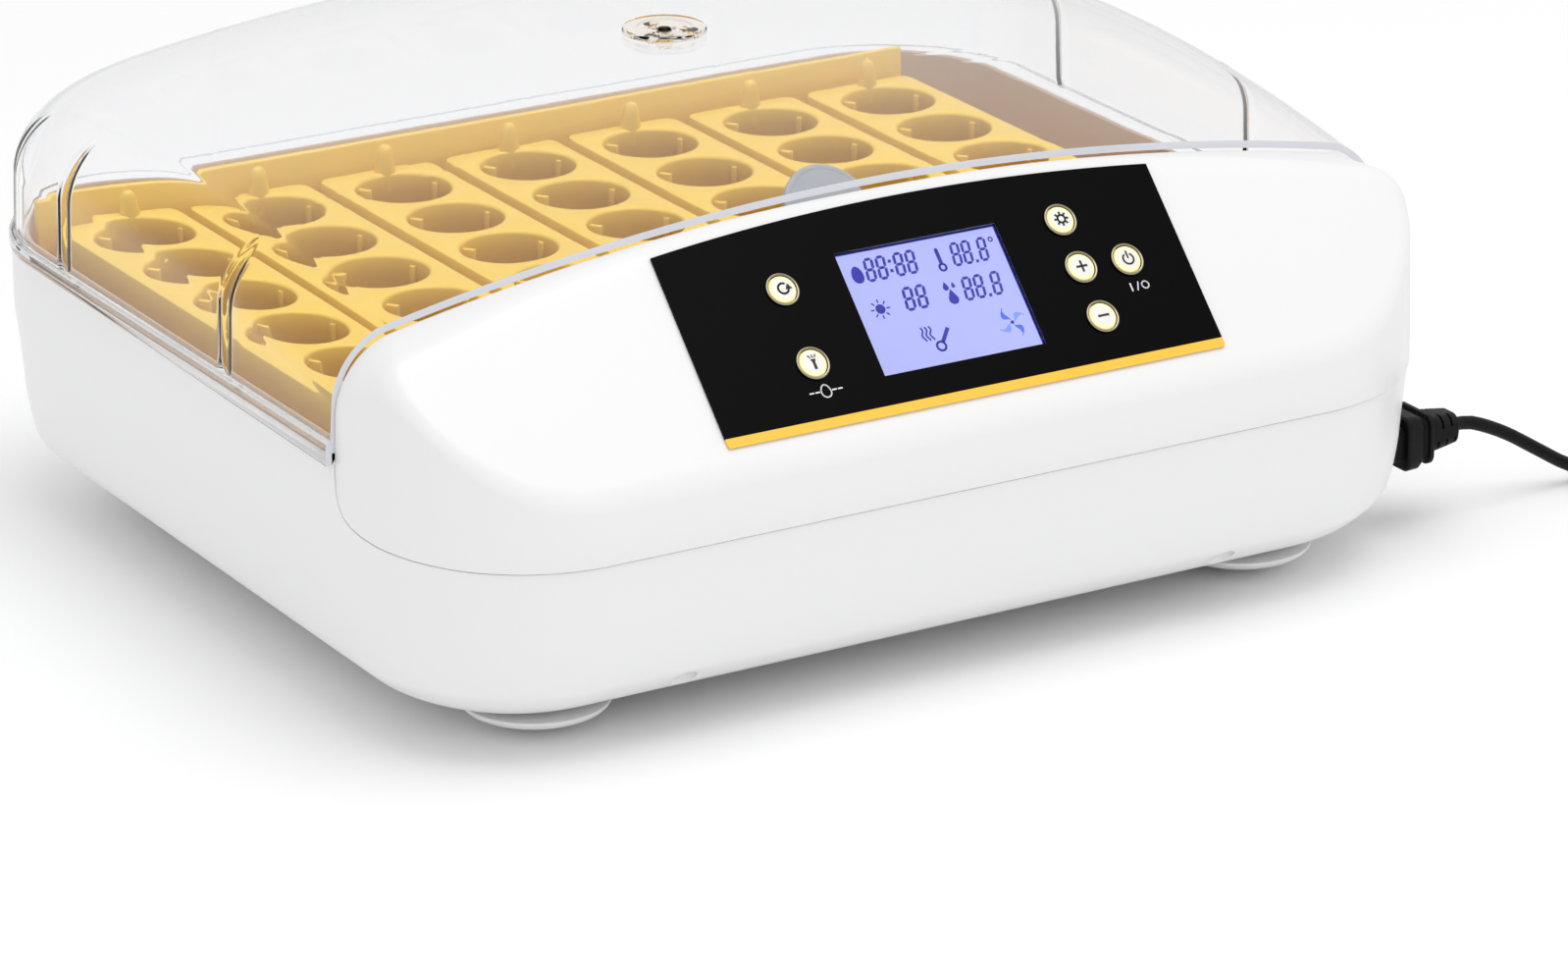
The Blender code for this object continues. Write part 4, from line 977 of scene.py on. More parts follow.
def hole_ring(name, reach, z, radius, length, segments=40):
    """Three rods round the middle of the vent."""
    rods = []
    for k in range(3):
        angle = k * 2 * math.pi / 3 + math.pi / 2
        rods.append(rod(name, (reach * math.cos(angle), VENT_Y + reach * math.sin(angle), z), radius,
                        length,
                        segments=segments))
    return rods


def on_slope(item):
    item.data.transform(ON_SLOPE)
    return item


class INCUBATOR_OT_base(bpy.types.Operator):
    """Dished base with its foot seats, screw notches and inlet opening"""
    bl_idname = "incubator.base"
    bl_label = "Base"

    def execute(self, context):
        hollow = base_solid("base_hollow", 3 * MM, 131 * MM)
        bosses = []
        for x in (-SCREW_X, SCREW_X):
            for y in (SCREW_FRONT_Y, SCREW_BACK_Y):
                bosses.append(rod("boss", (x, y, 0), 8 * MM, 46 * MM))
        for x in (75 * MM, 185 * MM):
            bosses.append(rod("post", (x, -165 * MM, 0), 4 * MM, 34 * MM))
        combine(hollow, join_meshes(bosses[0], bosses[1:]))
        base = base_solid("base_fine", 0, 121 * MM)
        combine(base, hollow)
        above = [(-BEYOND, 240), (-BEYOND, SEAM[0][1])] + SEAM + [(-139.6, 118), (-139.6, 240)]
        combine(base, seam_cutter(above))
        tools = [block("inlet_hole", (218 * MM, -170.5 * MM, 28 * MM),
                       (BEYOND * MM, -138.5 * MM, 52 * MM))]
        for x in (-FOOT_X, FOOT_X):
            for y in (FOOT_FRONT_Y, FOOT_BACK_Y):
                tools.append(rod("seat", (x, y, 0), 31.5 * MM, 11 * MM, segments=64))
        for x in (-SCREW_X, SCREW_X):
            for y in (SCREW_FRONT_Y, SCREW_BACK_Y):
                notch = [(0, 0), (5.5 * MM, 0), (5.5 * MM, SCREW_SEAT + 3 * MM),
                         (1.8 * MM, SCREW_SEAT + 3 * MM), (1.8 * MM, SCREW_SEAT + 14 * MM),
                         (0, SCREW_SEAT + 14 * MM)]
                tools.append(turned("notch", notch, 32, Matrix.Translation((x, y, 0))))
        combine(base, join_meshes(tools[0], tools[1:]))
        bevel(base, 0.18 * MM, 2, 50)
        finish_piece(base, [white_finish()], "housing", ["base_shell"], sharp=40)
        return {"FINISHED"}


def console_top(x, y):
    """Arch of the console cut by its sloping face, blended over a few millimetres."""
    arch = COVER_HIGH.z - x * x / (2 * ARCH_RADIUS)
    slope = SLOPE_TOP.z + (y - SLOPE_TOP.y) * math.tan(SLOPE)
    blend = 5 * MM
    near = max(blend - abs(arch - slope), 0)
    return min(arch, slope) - near * near / (4 * blend)


def console_radius(y):
    t = min(max((SPLIT - y) / (50 * MM), 0), 1)
    return SHOULDER - 20 * MM * t * t * (3 - 2 * t)


class INCUBATOR_OT_console(bpy.types.Operator):
    """Front console cover with its sloping face and the holes of the controls"""
    bl_idname = "incubator.console"
    bl_label = "Console cover"

    def execute(self, context):
        wall = 2.5 * MM
        steps = (even(2), 60, even(30, True))
        outer = Cover(BODY_HALF, SPLIT, FRONT, CORNER_FRONT, console_top, *steps)
        rings = [outer.ring(0, z * MM) for z in (80, 87, 95, 103)]
        rings += [outer.ring(1.2 * MM, None, console_radius, turn) for turn in TURNS]
        cover = outer.solid("console_fine", rings)
        inner = Cover(BODY_HALF, SPLIT - wall, FRONT, CORNER_FRONT - 2 * MM,
                      lambda x, y: console_top(x, y) - wall * (1.0 if y > -150 * MM else 1.3), *steps)
        rings = [inner.ring(wall, 70 * MM), inner.ring(wall, 95 * MM)]
        rings += [inner.ring(wall + 1.2 * MM, None, lambda y: max(console_radius(y) - wall, 4 * MM),
                             turn)
                  for turn in TURNS]
        combine(cover, inner.solid("console_hollow", rings))
        joint = [(y - 0.5, z + 0.6) for y, z in SEAM]
        below = [(-BEYOND, 0), (-BEYOND, joint[0][1])] + joint
        combine(cover, seam_cutter(below + [(-140.2, 121.4), (-130, 121.4), (-130, 0)]))
        tools = [on_slope(block("opening", (PANEL_X - 39.5 * MM, -86 * MM, -12 * MM),
                                (PANEL_X + 39.5 * MM, -27.5 * MM, 12 * MM)))]
        for x, down in BUTTONS.values():
            tools.append(on_slope(rod("hole", (x * MM, -down * MM, -9 * MM), CAP_BORE * MM, 18 * MM)))
        for z in (130, 138, 146, 154):
            tools.append(block("grille", (134 * MM, SPLIT - 5 * MM, z * MM),
                               (166 * MM, SPLIT + 5 * MM, (z + 4) * MM)))
        tools.append(rod("probe_hole", (-60 * MM, SPLIT - 6 * MM, 152 * MM), 4.4 * MM, 12 * MM, "Y"))
        combine(cover, join_meshes(tools[0], tools[1:]))
        bevel(cover, 0.18 * MM, 2, 50)
        finish_piece(cover, [white_finish()], "housing", ["console_cover"], sharp=40)
        return {"FINISHED"}


# ---- operators: panel ---------------------------------------------------------------------
def prisms(name, outlines, low, high, matrix=None):
    """Flat shapes with a little height from outlines in mm across and down the slope."""
    points, faces = [], []
    for outline in outlines:
        start, count = len(points), len(outline)
        for n in (low, high):
            points += [Vector((x * MM, -s * MM, n * MM)) for x, s in outline]
        faces.append(tuple(range(start, start + count)))
        faces.append(tuple(range(start + count, start + 2 * count)))
        for i in range(count):
            j = (i + 1) % count
            faces.append((start + i, start + j, start + count + j, start + count + i))
    move = ON_SLOPE if matrix is None else matrix
    return shape(name, mesh_from_faces(name, [move @ p for p in points], faces))


def oval(x, s, across, down, count=32, pinch=0.0):
    """Round or egg-like outline; with a pinch its upper end is narrower."""
    points = []
    for i in range(count):
        angle = 2 * math.pi * i / count
        lift = math.sin(angle)
        points.append((x + across * math.cos(angle) * (1 - pinch * lift), s - down * lift))
    return points


def stroke(points, width, closed=False):
    """Outlines of the straight pieces of a line of the given width."""
    line = list(points) + ([points[0]] if closed else [])
    pieces = []
    for (x1, s1), (x2, s2) in zip(line, line[1:]):
        length = math.hypot(x2 - x1, s2 - s1)
        if length == 0:
            continue
        ax, ay = (x2 - x1) / length * width * 0.3, (s2 - s1) / length * width * 0.3
        nx, ny = -(s2 - s1) / length * width / 2, (x2 - x1) / length * width / 2
        pieces.append([(x1 - ax + nx, s1 - ay + ny), (x2 + ax + nx, s2 + ay + ny),
                       (x2 + ax - nx, s2 + ay - ny), (x1 - ax - nx, s1 - ay - ny)])
    return pieces


def arc(x, s, radius, start, end, count=20):
    """Points round a centre, angles in degrees counted from the right towards the top."""
    return [(x + radius * math.cos(math.radians(start + (end - start) * i / count)),
             s - radius * math.sin(math.radians(start + (end - start) * i / count)))
            for i in range(count + 1)]


def digit_outlines(text, x, s, height, width, gap, slant=8.0, bold=0.27):
    """Seven-segment figures with every segment lit; full stops and colons take a narrow place."""
    lean = math.tan(math.radians(slant))
    thick = bold * width
    small = 0.36 * width
    total = sum(small if c in ".:" else width for c in text) + gap * (len(text) - 1)
    left = x - total / 2
    result = []

    def placed(points):
        return [(left + u + (height / 2 - v) * lean, s - height / 2 + v) for u, v in points]

    for c in text:
        if c in ".:":
            dot = thick * 0.55
            middle = small / 2
            for v in ([height - dot] if c == "." else [height * 0.3, height * 0.7]):
                result.append(placed([(middle - dot, v - dot), (middle + dot, v - dot),
                                      (middle + dot, v + dot), (middle - dot, v + dot)]))
            left += small + gap
            continue
        t, w, h = thick, width, height
        half, nick = t / 2, t * 0.12
        across = [(half + nick, 0), (w - half - nick, 0)]
        bars = {"a": half, "g": h / 2, "d": h - half}
        for key in "abcdefg":
            if key in bars:
                v = bars[key]
                one, two = across[0][0], across[1][0]
                result.append(placed([(one, v), (one + half, v - half), (two - half, v - half),
                                      (two, v),
                                      (two - half, v + half), (one + half, v + half)]))
            else:
                u = half if key in "ef" else w - half
                top = (half if key in "bf" else h / 2) + nick
                low = (h / 2 if key in "bf" else h - half) - nick
                result.append(placed([(u, top), (u + half, top + half), (u + half, low - half),
                                      (u, low),
                                      (u - half, low - half), (u - half, top + half)]))
        left += width + gap
    return result


class INCUBATOR_OT_panel(bpy.types.Operator):
    """Black panel overlay with its stripe and marks, and the lit display behind its window"""
    bl_idname = "incubator.panel"
    bl_label = "Control panel"

    def execute(self, context):
        self.overlay()
        self.display()
        return {"FINISHED"}

    def overlay(self):
        x, half = PANEL_X / MM, 118.4
        steps = 48
        top = [(x + half * (1 - 2 * i / steps),
                8 + 7.3 * (1 - 2 * i / steps) ** 2) for i in range(steps + 1)]
        black = moulded("overlay black", tints().overlay, roughness=0.32, wander=0.04, grain=400,
                        depth=0.0,
                        drift=0.0, edge_amount=0.0, shine=0.05)
        yellow = moulded("overlay yellow", tints().stripe, roughness=0.3, wander=0.05, grain=400,
                         depth=0.0,
                         drift=0.1, edge_amount=0.0, coat=0.3)
        white = moulded("overlay white", (0.86, 0.86, 0.86), **PRINTED)
        main = prisms("panel_overlay", [[(x - half, 98), (x + half, 98)] + top], 0.3, 1.2)
        tools = [on_slope(block("window", (PANEL_X - 38.7 * MM, -85.1 * MM, -5 * MM),
                                (PANEL_X + 38.7 * MM, -28.2 * MM, 5 * MM)))]
        for bx, down in BUTTONS.values():
            tools.append(on_slope(rod("hole", (bx * MM, -down * MM, -5 * MM), CAP_BORE * MM, 10 * MM)))
        combine(main, join_meshes(tools[0], tools[1:]))
        main.data.materials.clear()
        main.data.materials.append(black)
        low = prisms("stripe",
                     [[(x - half, 98.03), (x - half, 101), (x - half + 0.4, 101.9),
                       (x - half + 1.2, 102.2),
                                 (x + half - 1.2, 102.2), (x + half - 0.4, 101.9), (x + half, 101),
                                 (x + half, 98.03)]], 0.3, 1.2)
        low.data.materials.append(yellow)
        (cx, cs), (px, ps) = BUTTONS["candler"], BUTTONS["power"]
        ring = oval(cx + 1, cs + 12.6, 2.2, 2.8, 24, 0.16)
        outlines = stroke(ring, 0.6, True)
        for dx in (-6.6, -3.9, 3.9, 6.6):
            outlines += stroke([(cx + 1 + dx - 0.9, cs + 12.6), (cx + 1 + dx + 0.9, cs + 12.6)], 0.6)
        outlines += stroke([(px - 3.2, ps + 10.6), (px - 3.2, ps + 14.0)], 0.65)
        outlines += stroke([(px - 0.7, ps + 14.1), (px + 0.7, ps + 10.5)], 0.5)
        outlines += stroke(arc(px + 3.6, ps + 12.3, 1.6, 0, 360, 20), 0.6)
        marks = prisms("marks", outlines, 1.1, 1.24)
        marks.data.materials.append(white)
        joined = join_meshes(main, [low, marks])
        finish_piece(joined, None, "housing", ["fascia"], sharp=30)

    def display(self):
        x = PANEL_X / MM
        height = sizes().digit_height / MM
        dark = moulded("module black", (0.02, 0.02, 0.03), roughness=0.5)
        face = moulded("display lit", tuple(0.16 * v for v in tints().glow), **PRINTED,
                       emission=tints().glow, strength=0.78)
        ink = moulded("display ink", tints().ink, **PRINTED,
                      emission=(0.0, 0.0, 0.30), strength=0.12)
        pale = moulded("display mid ink", (0.03, 0.08, 0.50), **PRINTED, emission=(0.05, 0.12, 0.70),
                       strength=0.35)
        faint = moulded("display pale ink", (0.10, 0.18, 0.60), roughness=0.4, depth=0.0, drift=0.0,
                        edge_amount=0.0, emission=(0.15, 0.25, 0.85), strength=0.45)
        module = prisms("display_face",
                        [[(x - 38.4, 28.5), (x + 38.4, 28.5), (x + 38.4, 84.8), (x - 38.4, 84.8)]],
                        -7.5, -1.0)
        module.data.materials.append(ink)
        glow = prisms("glow", [[(x - 37.6, 29.3), (x + 37.6, 29.3), (x + 37.6, 84.0),
                                (x - 37.6, 84.0)]],
                      -1.0, -0.9)
        glow.data.materials.append(face)
        rear = prisms("rear", [[(x - 37, 30), (x + 37, 30), (x + 37, 83.4), (x - 37, 83.4)]], -7.6,
                      -7.4)
        rear.data.materials.append(dark)
        figures = digit_outlines("88:88", x - 14.8, 37.7, height, 4.7, 0.95)
        figures += digit_outlines("88.8", x + 22.6, 38.2, height, 4.4, 0.8)
        figures += digit_outlines("88", x - 9.8, 53.4, height, 4.9, 1.1)
        figures += digit_outlines("88.8", x + 21.8, 54.0, height, 4.6, 0.9)
        figures.append(oval(x - 31.0, 38.9, 2.7, 3.9, 32, 0.16))
        figures += self.thermometer(x + 8.0, 39.0, 10.2)
        figures += stroke(arc(x + 34.2, 34.6, 0.9, 0, 360, 16), 0.55)
        figures.append(oval(x - 27.2, 55.4, 2.2, 2.2, 28))
        for k in range(8):
            angle = math.radians(45 * k)
            figures += stroke([(x - 27.2 + 3.0 * math.cos(angle), 55.4 + 3.0 * math.sin(angle)),
                               (x - 27.2 + 4.3 * math.cos(angle), 55.4 + 4.3 * math.sin(angle))], 0.6)
        for dx, ds, size in ((5.4, 51.8, 0.75), (9.0, 51.6, 0.5), (6.9, 57.4, 1.3)):
            figures.append(self.drop(x + dx, ds, 1.75 * size))
        for k in range(3):
            wave = [(x - 13.4 + 1.9 * k + 0.55 * math.sin(i * math.pi / 4),
                     67.0 + 0.6 * i) for i in range(11)]
            figures += stroke(wave, 0.7)
        figures += stroke(arc(x - 7.3, 76.4, 2.0, 0, 360, 22), 0.95)
        figures += stroke([(x - 6.0, 74.8), (x - 1.6, 69.4)], 1.7)
        blades, light = [], []
        for k in range(4):
            (blades if k % 2 else light).append(self.blade(x + 28.3, 72.3, 7.4, 90 * k + 8))
        parts = [glow, rear]
        for name, outlines, finish in (("figures", figures, ink), ("blades", blades, pale),
                                       ("light_blades", light, faint)):
            part = prisms(name, outlines, -0.94, -0.82)
            part.data.materials.append(finish)
            parts.append(part)
        hub = prisms("hub", [oval(x + 28.3, 72.3, 0.8, 0.8, 24)], -0.94, -0.76)
        hub.data.materials.append(ink)
        parts.append(hub)
        joined = join_meshes(module, parts)
        finish_piece(joined, None, "housing", ["lcd_module"], sharp=30)
        window = softened("display_window", "lcd_window", 0.25 * MM,
                          clear_plastic("display cover", (0.99, 0.99, 1.0), ior=1.1), "housing")
        return window

    def thermometer(self, x, s, height):
        stem = [(x - 0.85, s - height / 2 + 0.8), (x - 0.5, s - height / 2), (x + 0.5, s - height / 2),
                (x + 0.85, s - height / 2 + 0.8), (x + 0.85, s + height / 2 - 3),
                (x - 0.85, s + height / 2 - 3)]
        return [stem] + stroke(arc(x, s + height / 2 - 1.4, 1.5, 0, 360, 22), 0.95)

    def drop(self, x, s, radius):
        round_part = [(x + radius * math.cos(a), s + radius * math.sin(a))
                      for a in (math.radians(-30 + 240 * i / 16) for i in range(17))]
        return round_part + [(x, s - 2.1 * radius)]

    def blade(self, x, s, radius, angle):
        points = []
        for i in range(11):
            reach = radius * (0.14 + 0.86 * i / 10)
            a = math.radians(angle + 20 * math.sin(math.pi * i / 12))
            points.append((x + reach * math.cos(a), s - reach * math.sin(a)))
        for i in range(10, -1, -1):
            reach = radius * (0.14 + 0.80 * i / 10)
            belly = 34 * math.sin(math.pi * (i / 10) ** 0.8)
            a = math.radians(angle + 20 * math.sin(math.pi * i / 12) + belly)
            points.append((x + reach * math.cos(a), s - reach * math.sin(a)))
        return points


class INCUBATOR_OT_buttons(bpy.types.Operator):
    """Six push buttons with their lit rims, symbols and bezels"""
    bl_idname = "incubator.buttons"
    bl_label = "Buttons"

    def execute(self, context):
        white = moulded("button white", tints().button, roughness=0.3, grain=800, depth=0.0, drift=0.05,
                        edge_amount=0.1, coat=0.3)
        halo = moulded("button rim", tints().halo, roughness=0.35, depth=0.0, drift=0.05,
                       edge_amount=0.0,
                       emission=tints().halo, strength=0.35)
        black = moulded("button mark", (0.006, 0.006, 0.006), **PRINTED)
        profile = rounded_profile([
            (0, -8, 0), (2.2, -8, 0.3), (2.2, -4.8, 0), (7.2, -4.8, 0), (7.2, -3.9, 0), (6, -3.9, 0),
            (6, 2.0, 0.5), (5.0, 2.5, 0.2), (4.6, 2.62, 0.3), (0, 2.78, 0)], 3)
        for name, (x, down) in BUTTONS.items():
            spot = Matrix.Translation((x * MM, -down * MM, 0))
            cap = turned(f"cap_{name}", profile, 48, ON_SLOPE @ spot)
            cap.data.materials.append(white)
            cap.data.materials.append(halo)
            back = (ON_SLOPE @ spot).inverted()
            for face in cap.data.polygons:
                local = back @ face.center
                if math.hypot(local.x, local.y) > 4.75 * MM:
                    face.material_index = 1
            marks = prisms("mark", self.symbol(name), 2.55, 2.86, ON_SLOPE @ spot)
            marks.data.materials.append(black)
            joined = join_meshes(cap, [marks])
            finish_piece(joined, None, f"button_{name}", [f"button_{name}"], sharp=30)
        chrome = moulded("bezel chrome", (0.30, 0.27, 0.22), tint=(0.5, 0.42, 0.28), roughness=0.2,
                         wander=0.2,
                         grain=600, depth=0.0, metallic=1.0, drift=0.7)
        ring = turned("ring", rounded_profile([
            (6.45, 1.5, 0), (7.35, 1.5, 0), (7.35, 2.15, 0.3), (6.9, 2.4, 0.3), (6.45, 2.2, 0)], 3), 48)
        spots = [ON_SLOPE @ Vector((x * MM, -down * MM, 0)) for x, down in BUTTONS.values()]
        bezels = repeated("button_bezels", ring, spots, chrome, (SLOPE, 0, 0))
        finish_piece(bezels, None, "housing", [f"bezel_{n}" for n in BUTTONS])
        return {"FINISHED"}

    def symbol(self, name):
        if name == "plus":
            return stroke([(-2.3, 0), (2.3, 0)], 0.95) + stroke([(0, -2.3), (0, 2.3)], 0.95)
        if name == "minus":
            return stroke([(-2.3, 0), (2.3, 0)], 0.95)
        if name == "power":
            return stroke(arc(0, 0.2, 2.4, 125, 415, 24), 0.7) + stroke([(0, -3.2), (0, -0.2)], 0.75)
        if name == "reset":
            return stroke(arc(0, 0, 2.3, 60, 350, 24), 0.85) + [[(0.8, 0.6), (3.9, 0.6), (2.35, -1.9)]]
        if name == "set":
            teeth = []
            for k in range(8):
                a = math.radians(45 * k)
                teeth += stroke([(1.9 * math.cos(a), 1.9 * math.sin(a)),
                                 (3.0 * math.cos(a), 3.0 * math.sin(a))],
                                0.85)
            return stroke(arc(0, 0, 1.7, 0, 360, 24), 0.8) + teeth
        torch = [[(-1.2, -1.4), (1.2, -1.4), (0.6, 0.1), (0.6, 3.1), (-0.6, 3.1), (-0.6, 0.1)]]
        for dx in (-1.7, 0.0, 1.7):
            torch += stroke([(dx * 0.6, -2.1), (dx, -3.2)], 0.45)
        return torch


# ---- operators: lid and vent --------------------------------------------------------------
FLUTES = [(251.5, 104.5), (251.5, -46.0), (245.7, 165.5), (129.0, 215.5)]


def lid_top(x, y):
    reach = 175 * MM if y < 35.5 * MM else 190 * MM
    return CROWN - 16.5 * MM * ((y - 35.5 * MM) / reach) ** 2 - x * x / (2 * ARCH_RADIUS)


def flute_dent(x, y, share):
    """Inward press of the lid's flutes at a place on its outline; narrower where they end."""
    width = sizes().flute_width * (0.35 + 0.65 * share)
    deepest = 0.0
    for fx, fy in FLUTES:
        distance = math.hypot(abs(x) - fx * MM, y - fy * MM) / width
        if distance < 1:
            deepest = max(deepest, (1 - distance ** 2) ** 1.5)
    return sizes().flute_depth * deepest * min(1, share * 1.6)


def dense(start, end, spots, wide, fine, reach):
    """Places from start to end, close together near the given spots."""
    values, here = [], start
    while here < end - 1e-9:
        values.append(here)
        here += fine if any(abs(here - s) < reach for s in spots) else wide
    return values


class INCUBATOR_OT_lid(bpy.types.Operator):
    """Clear lid with its flange, arched crown, pressed flutes and vent holes"""
    bl_idname = "incubator.lid"
    bl_label = "Clear lid"

    def execute(self, context):
        start, end, wall = SPLIT + 0.4 * MM, LID_HIGH.y - 6 * MM, sizes().lid_wall
        half, corner = LID_HIGH.x - 6 * MM, 80 * MM
        run = (end - corner - start) / MM
        side = dense(0, run, [104.5 - start / MM, -46 - start / MM, run], 8.0, 1.1, 7.0)
        side = [v / run for v in side]
        across = (half - corner) / MM
        ends = dense(0, across, [across - 129], 8.0, 1.1, 7.0)
        ends = [v / across for v in ends[1:]] + [1.0]
        steps = (side, 64, ends)
        outer = Cover(half, start, end, corner, lid_top, *steps, dent=flute_dent)
        inner = Cover(half, start, end, corner, lambda x, y: lid_top(x, y) - wall, *steps,
                      dent=flute_dent)
        low, high, out, draft = 123.6 * MM, 128.5 * MM, -2.3 * MM, 0.8 * MM

        def lip(rise):
            return lambda x, y: (118.8 + 4.4 * min(max((y - start) / 0.3, 0), 1) + rise) * MM

        shares = [max(0.0, 1 - (turn / math.radians(72)) ** 2) for turn in LID_TURNS]
        rings = [outer.ring(0.5 * MM, low + 0.4 * MM), outer.ring(0.5 * MM, lip(0.4)),
                 outer.ring(0.2 * MM, lip(0)),
                 outer.ring(out + 0.6 * MM, lip(0)), outer.ring(out + 0.15 * MM, lip(0.15)),
                 outer.ring(out, lip(0.7)), outer.ring(out, high - 2.2 * MM),
                 outer.ring(out + 0.3 * MM, high - 1.2 * MM),
                 outer.ring(out + 0.3 * MM, high - 0.6 * MM),
                 outer.ring(out + 0.8 * MM, high), outer.ring(-0.9 * MM, high),
                 outer.ring(-0.3 * MM, high + 0.4 * MM),
                 outer.ring(0, high + 1.5 * MM, share=0.5),
                 outer.ring(0.1 * MM, high + 4 * MM, share=1)]
        rings += [outer.ring(draft, None, lambda y: SHOULDER, turn, share)
                  for turn, share in zip(LID_TURNS, shares)]
        inner_rings = [inner.ring(wall, low + rise * MM)
                       for rise in (0, 0.3, 0.6, 0.9, 1.2, 1.5, 1.9, 2.3, 2.7, 3.2, 3.8, 4.9)]
        inner_rings += [inner.ring(wall, high + 1.5 * MM, share=0.5),
                        inner.ring(wall + 0.1 * MM, high + 4 * MM, share=1)]
        inner_rings += [inner.ring(wall + draft, None, lambda y: SHOULDER - wall, turn, share)
                        for turn, share in zip(LID_TURNS, shares)]
        lid = thin_shell("clear_lid", outer.skin(rings), inner.skin(inner_rings))
        tools = [rod("pin_hole", (0, VENT_Y, 190 * MM), 3.4 * MM, 40 * MM)]
        tools += hole_ring("vent_hole", 11 * MM, 190 * MM, 3.5 * MM, 40 * MM)
        combine(lid, join_meshes(tools[0], tools[1:]))
        # Painted refraction: the front end face of the clear lid gets an opaque grey that stands in for
        # the light refracted through the edge of the clear plastic.
        edge = moulded("lid edge", (0.78, 0.79, 0.82), tint=(0.66, 0.67, 0.74), roughness=0.25,
                       depth=0.0, drift=0.8,
                       edge_amount=0.0)
        finish_piece(lid, [clear_plastic("lid clear", tints().clear, ior=1.32), edge], "lid",
                     ["lid"], sharp=50)
        # The front end faces of the lid take the painted refraction grey.
        for face in lid.data.polygons:
            if face.center.y < start + 0.02 * MM:
                face.material_index = 1
        return {"FINISHED"}


class INCUBATOR_OT_vent(bpy.types.Operator):
    """Turning vent cap on the crown of the lid"""
    bl_idname = "incubator.vent"
    bl_label = "Vent cap"

    def execute(self, context):
        place = Matrix.Translation((0, VENT_Y, CROWN))
        profile = rounded_profile([
            (0, -9, 0), (2.5, -9, 0.4), (4, -7, 0.4), (4, -4, 0.3), (3, -4, 0), (3, 0.4, 0),
            (18.2, 0.4, 0.3),
            (18.2, 2, 0.5), (17.4, 2.7, 0.5), (12.4, 2.7, 0.4), (11.4, 1.9, 0.4), (5.5, 1.9, 0.3),
            (4.4, 3, 0.5), (0, 3, 0)])
        cap = turned("vent_dial", profile, 72, place)
        holes = hole_ring("air_hole", 8.4 * MM, CROWN - 2 * MM, 2.2 * MM, 12 * MM, 28)
        combine(cap, join_meshes(holes[0], holes[1:]))
        finish_piece(cap, [clear_plastic("vent clear", (0.995, 0.95, 0.89), ior=1.14)], "vent",
                     ["vent_cap"])
        return {"FINISHED"}


# ---- operators: chamber -------------------------------------------------------------------
class INCUBATOR_OT_tub(bpy.types.Operator):
    """Beige tub of the chamber with its egg floor and channel walls"""
    bl_idname = "incubator.tub"
    bl_label = "Tub and floor"

    def execute(self, context):
        spec = [  # height, half width, front, back, front corner, back corner
            (50, 234, 4, -13, 12, 50), (54, 238, 2, -9, 12, 54), (121.3, 245.5, 1.6, -3.5, 12, 60),
            (121.3, 247.8, 0.4, -1.5, 12, 62), (123.3, 247.8, 0.4, -1.5, 12, 62),
            (123.3, 245.7, 1.8, -3.5, 12, 60), (126.4, 245.7, 1.8, -3.5, 12, 60),
            (127, 245.1, 2.2, -4.0, 12, 59.6), (127, 244.1, 3.2, -5.2, 10, 58.4),
            (126.4, 243.5, 3.8, -5.7, 10, 58),
            (58, 238, 4, -9, 10, 52), (54, 236, 6, -11, 10, 50), (52, 232, 10, -15, 10, 46)]
        rings = []
        for z, half, front, back, corner, far in spec:
            path = loop_path(half * MM, (half - 2.5) * MM, SPLIT + front * MM, BODY_BACK + back * MM,
                             corner * MM, far * MM)
            rings.append([Vector((x, y, z * MM)) for x, y in path])
        tub = loft("tub_fine", rings)
        combine(tub, rod("shaft_hole", (-20 * MM, SPLIT - 5 * MM, 70 * MM), 3.6 * MM, 15 * MM, "Y"))
        beige = tub_finish()
        finish_piece(tub, [beige], "housing", ["chamber_liner"], sharp=40)
        softened("egg_floor", "floor_grid", 0.8 * MM, beige, "housing")
        softened("channel_left", "channel_wall_left", 0.8 * MM, beige, "housing")
        softened("channel_right", "channel_wall_right", 0.8 * MM, beige, "housing")
        return {"FINISHED"}


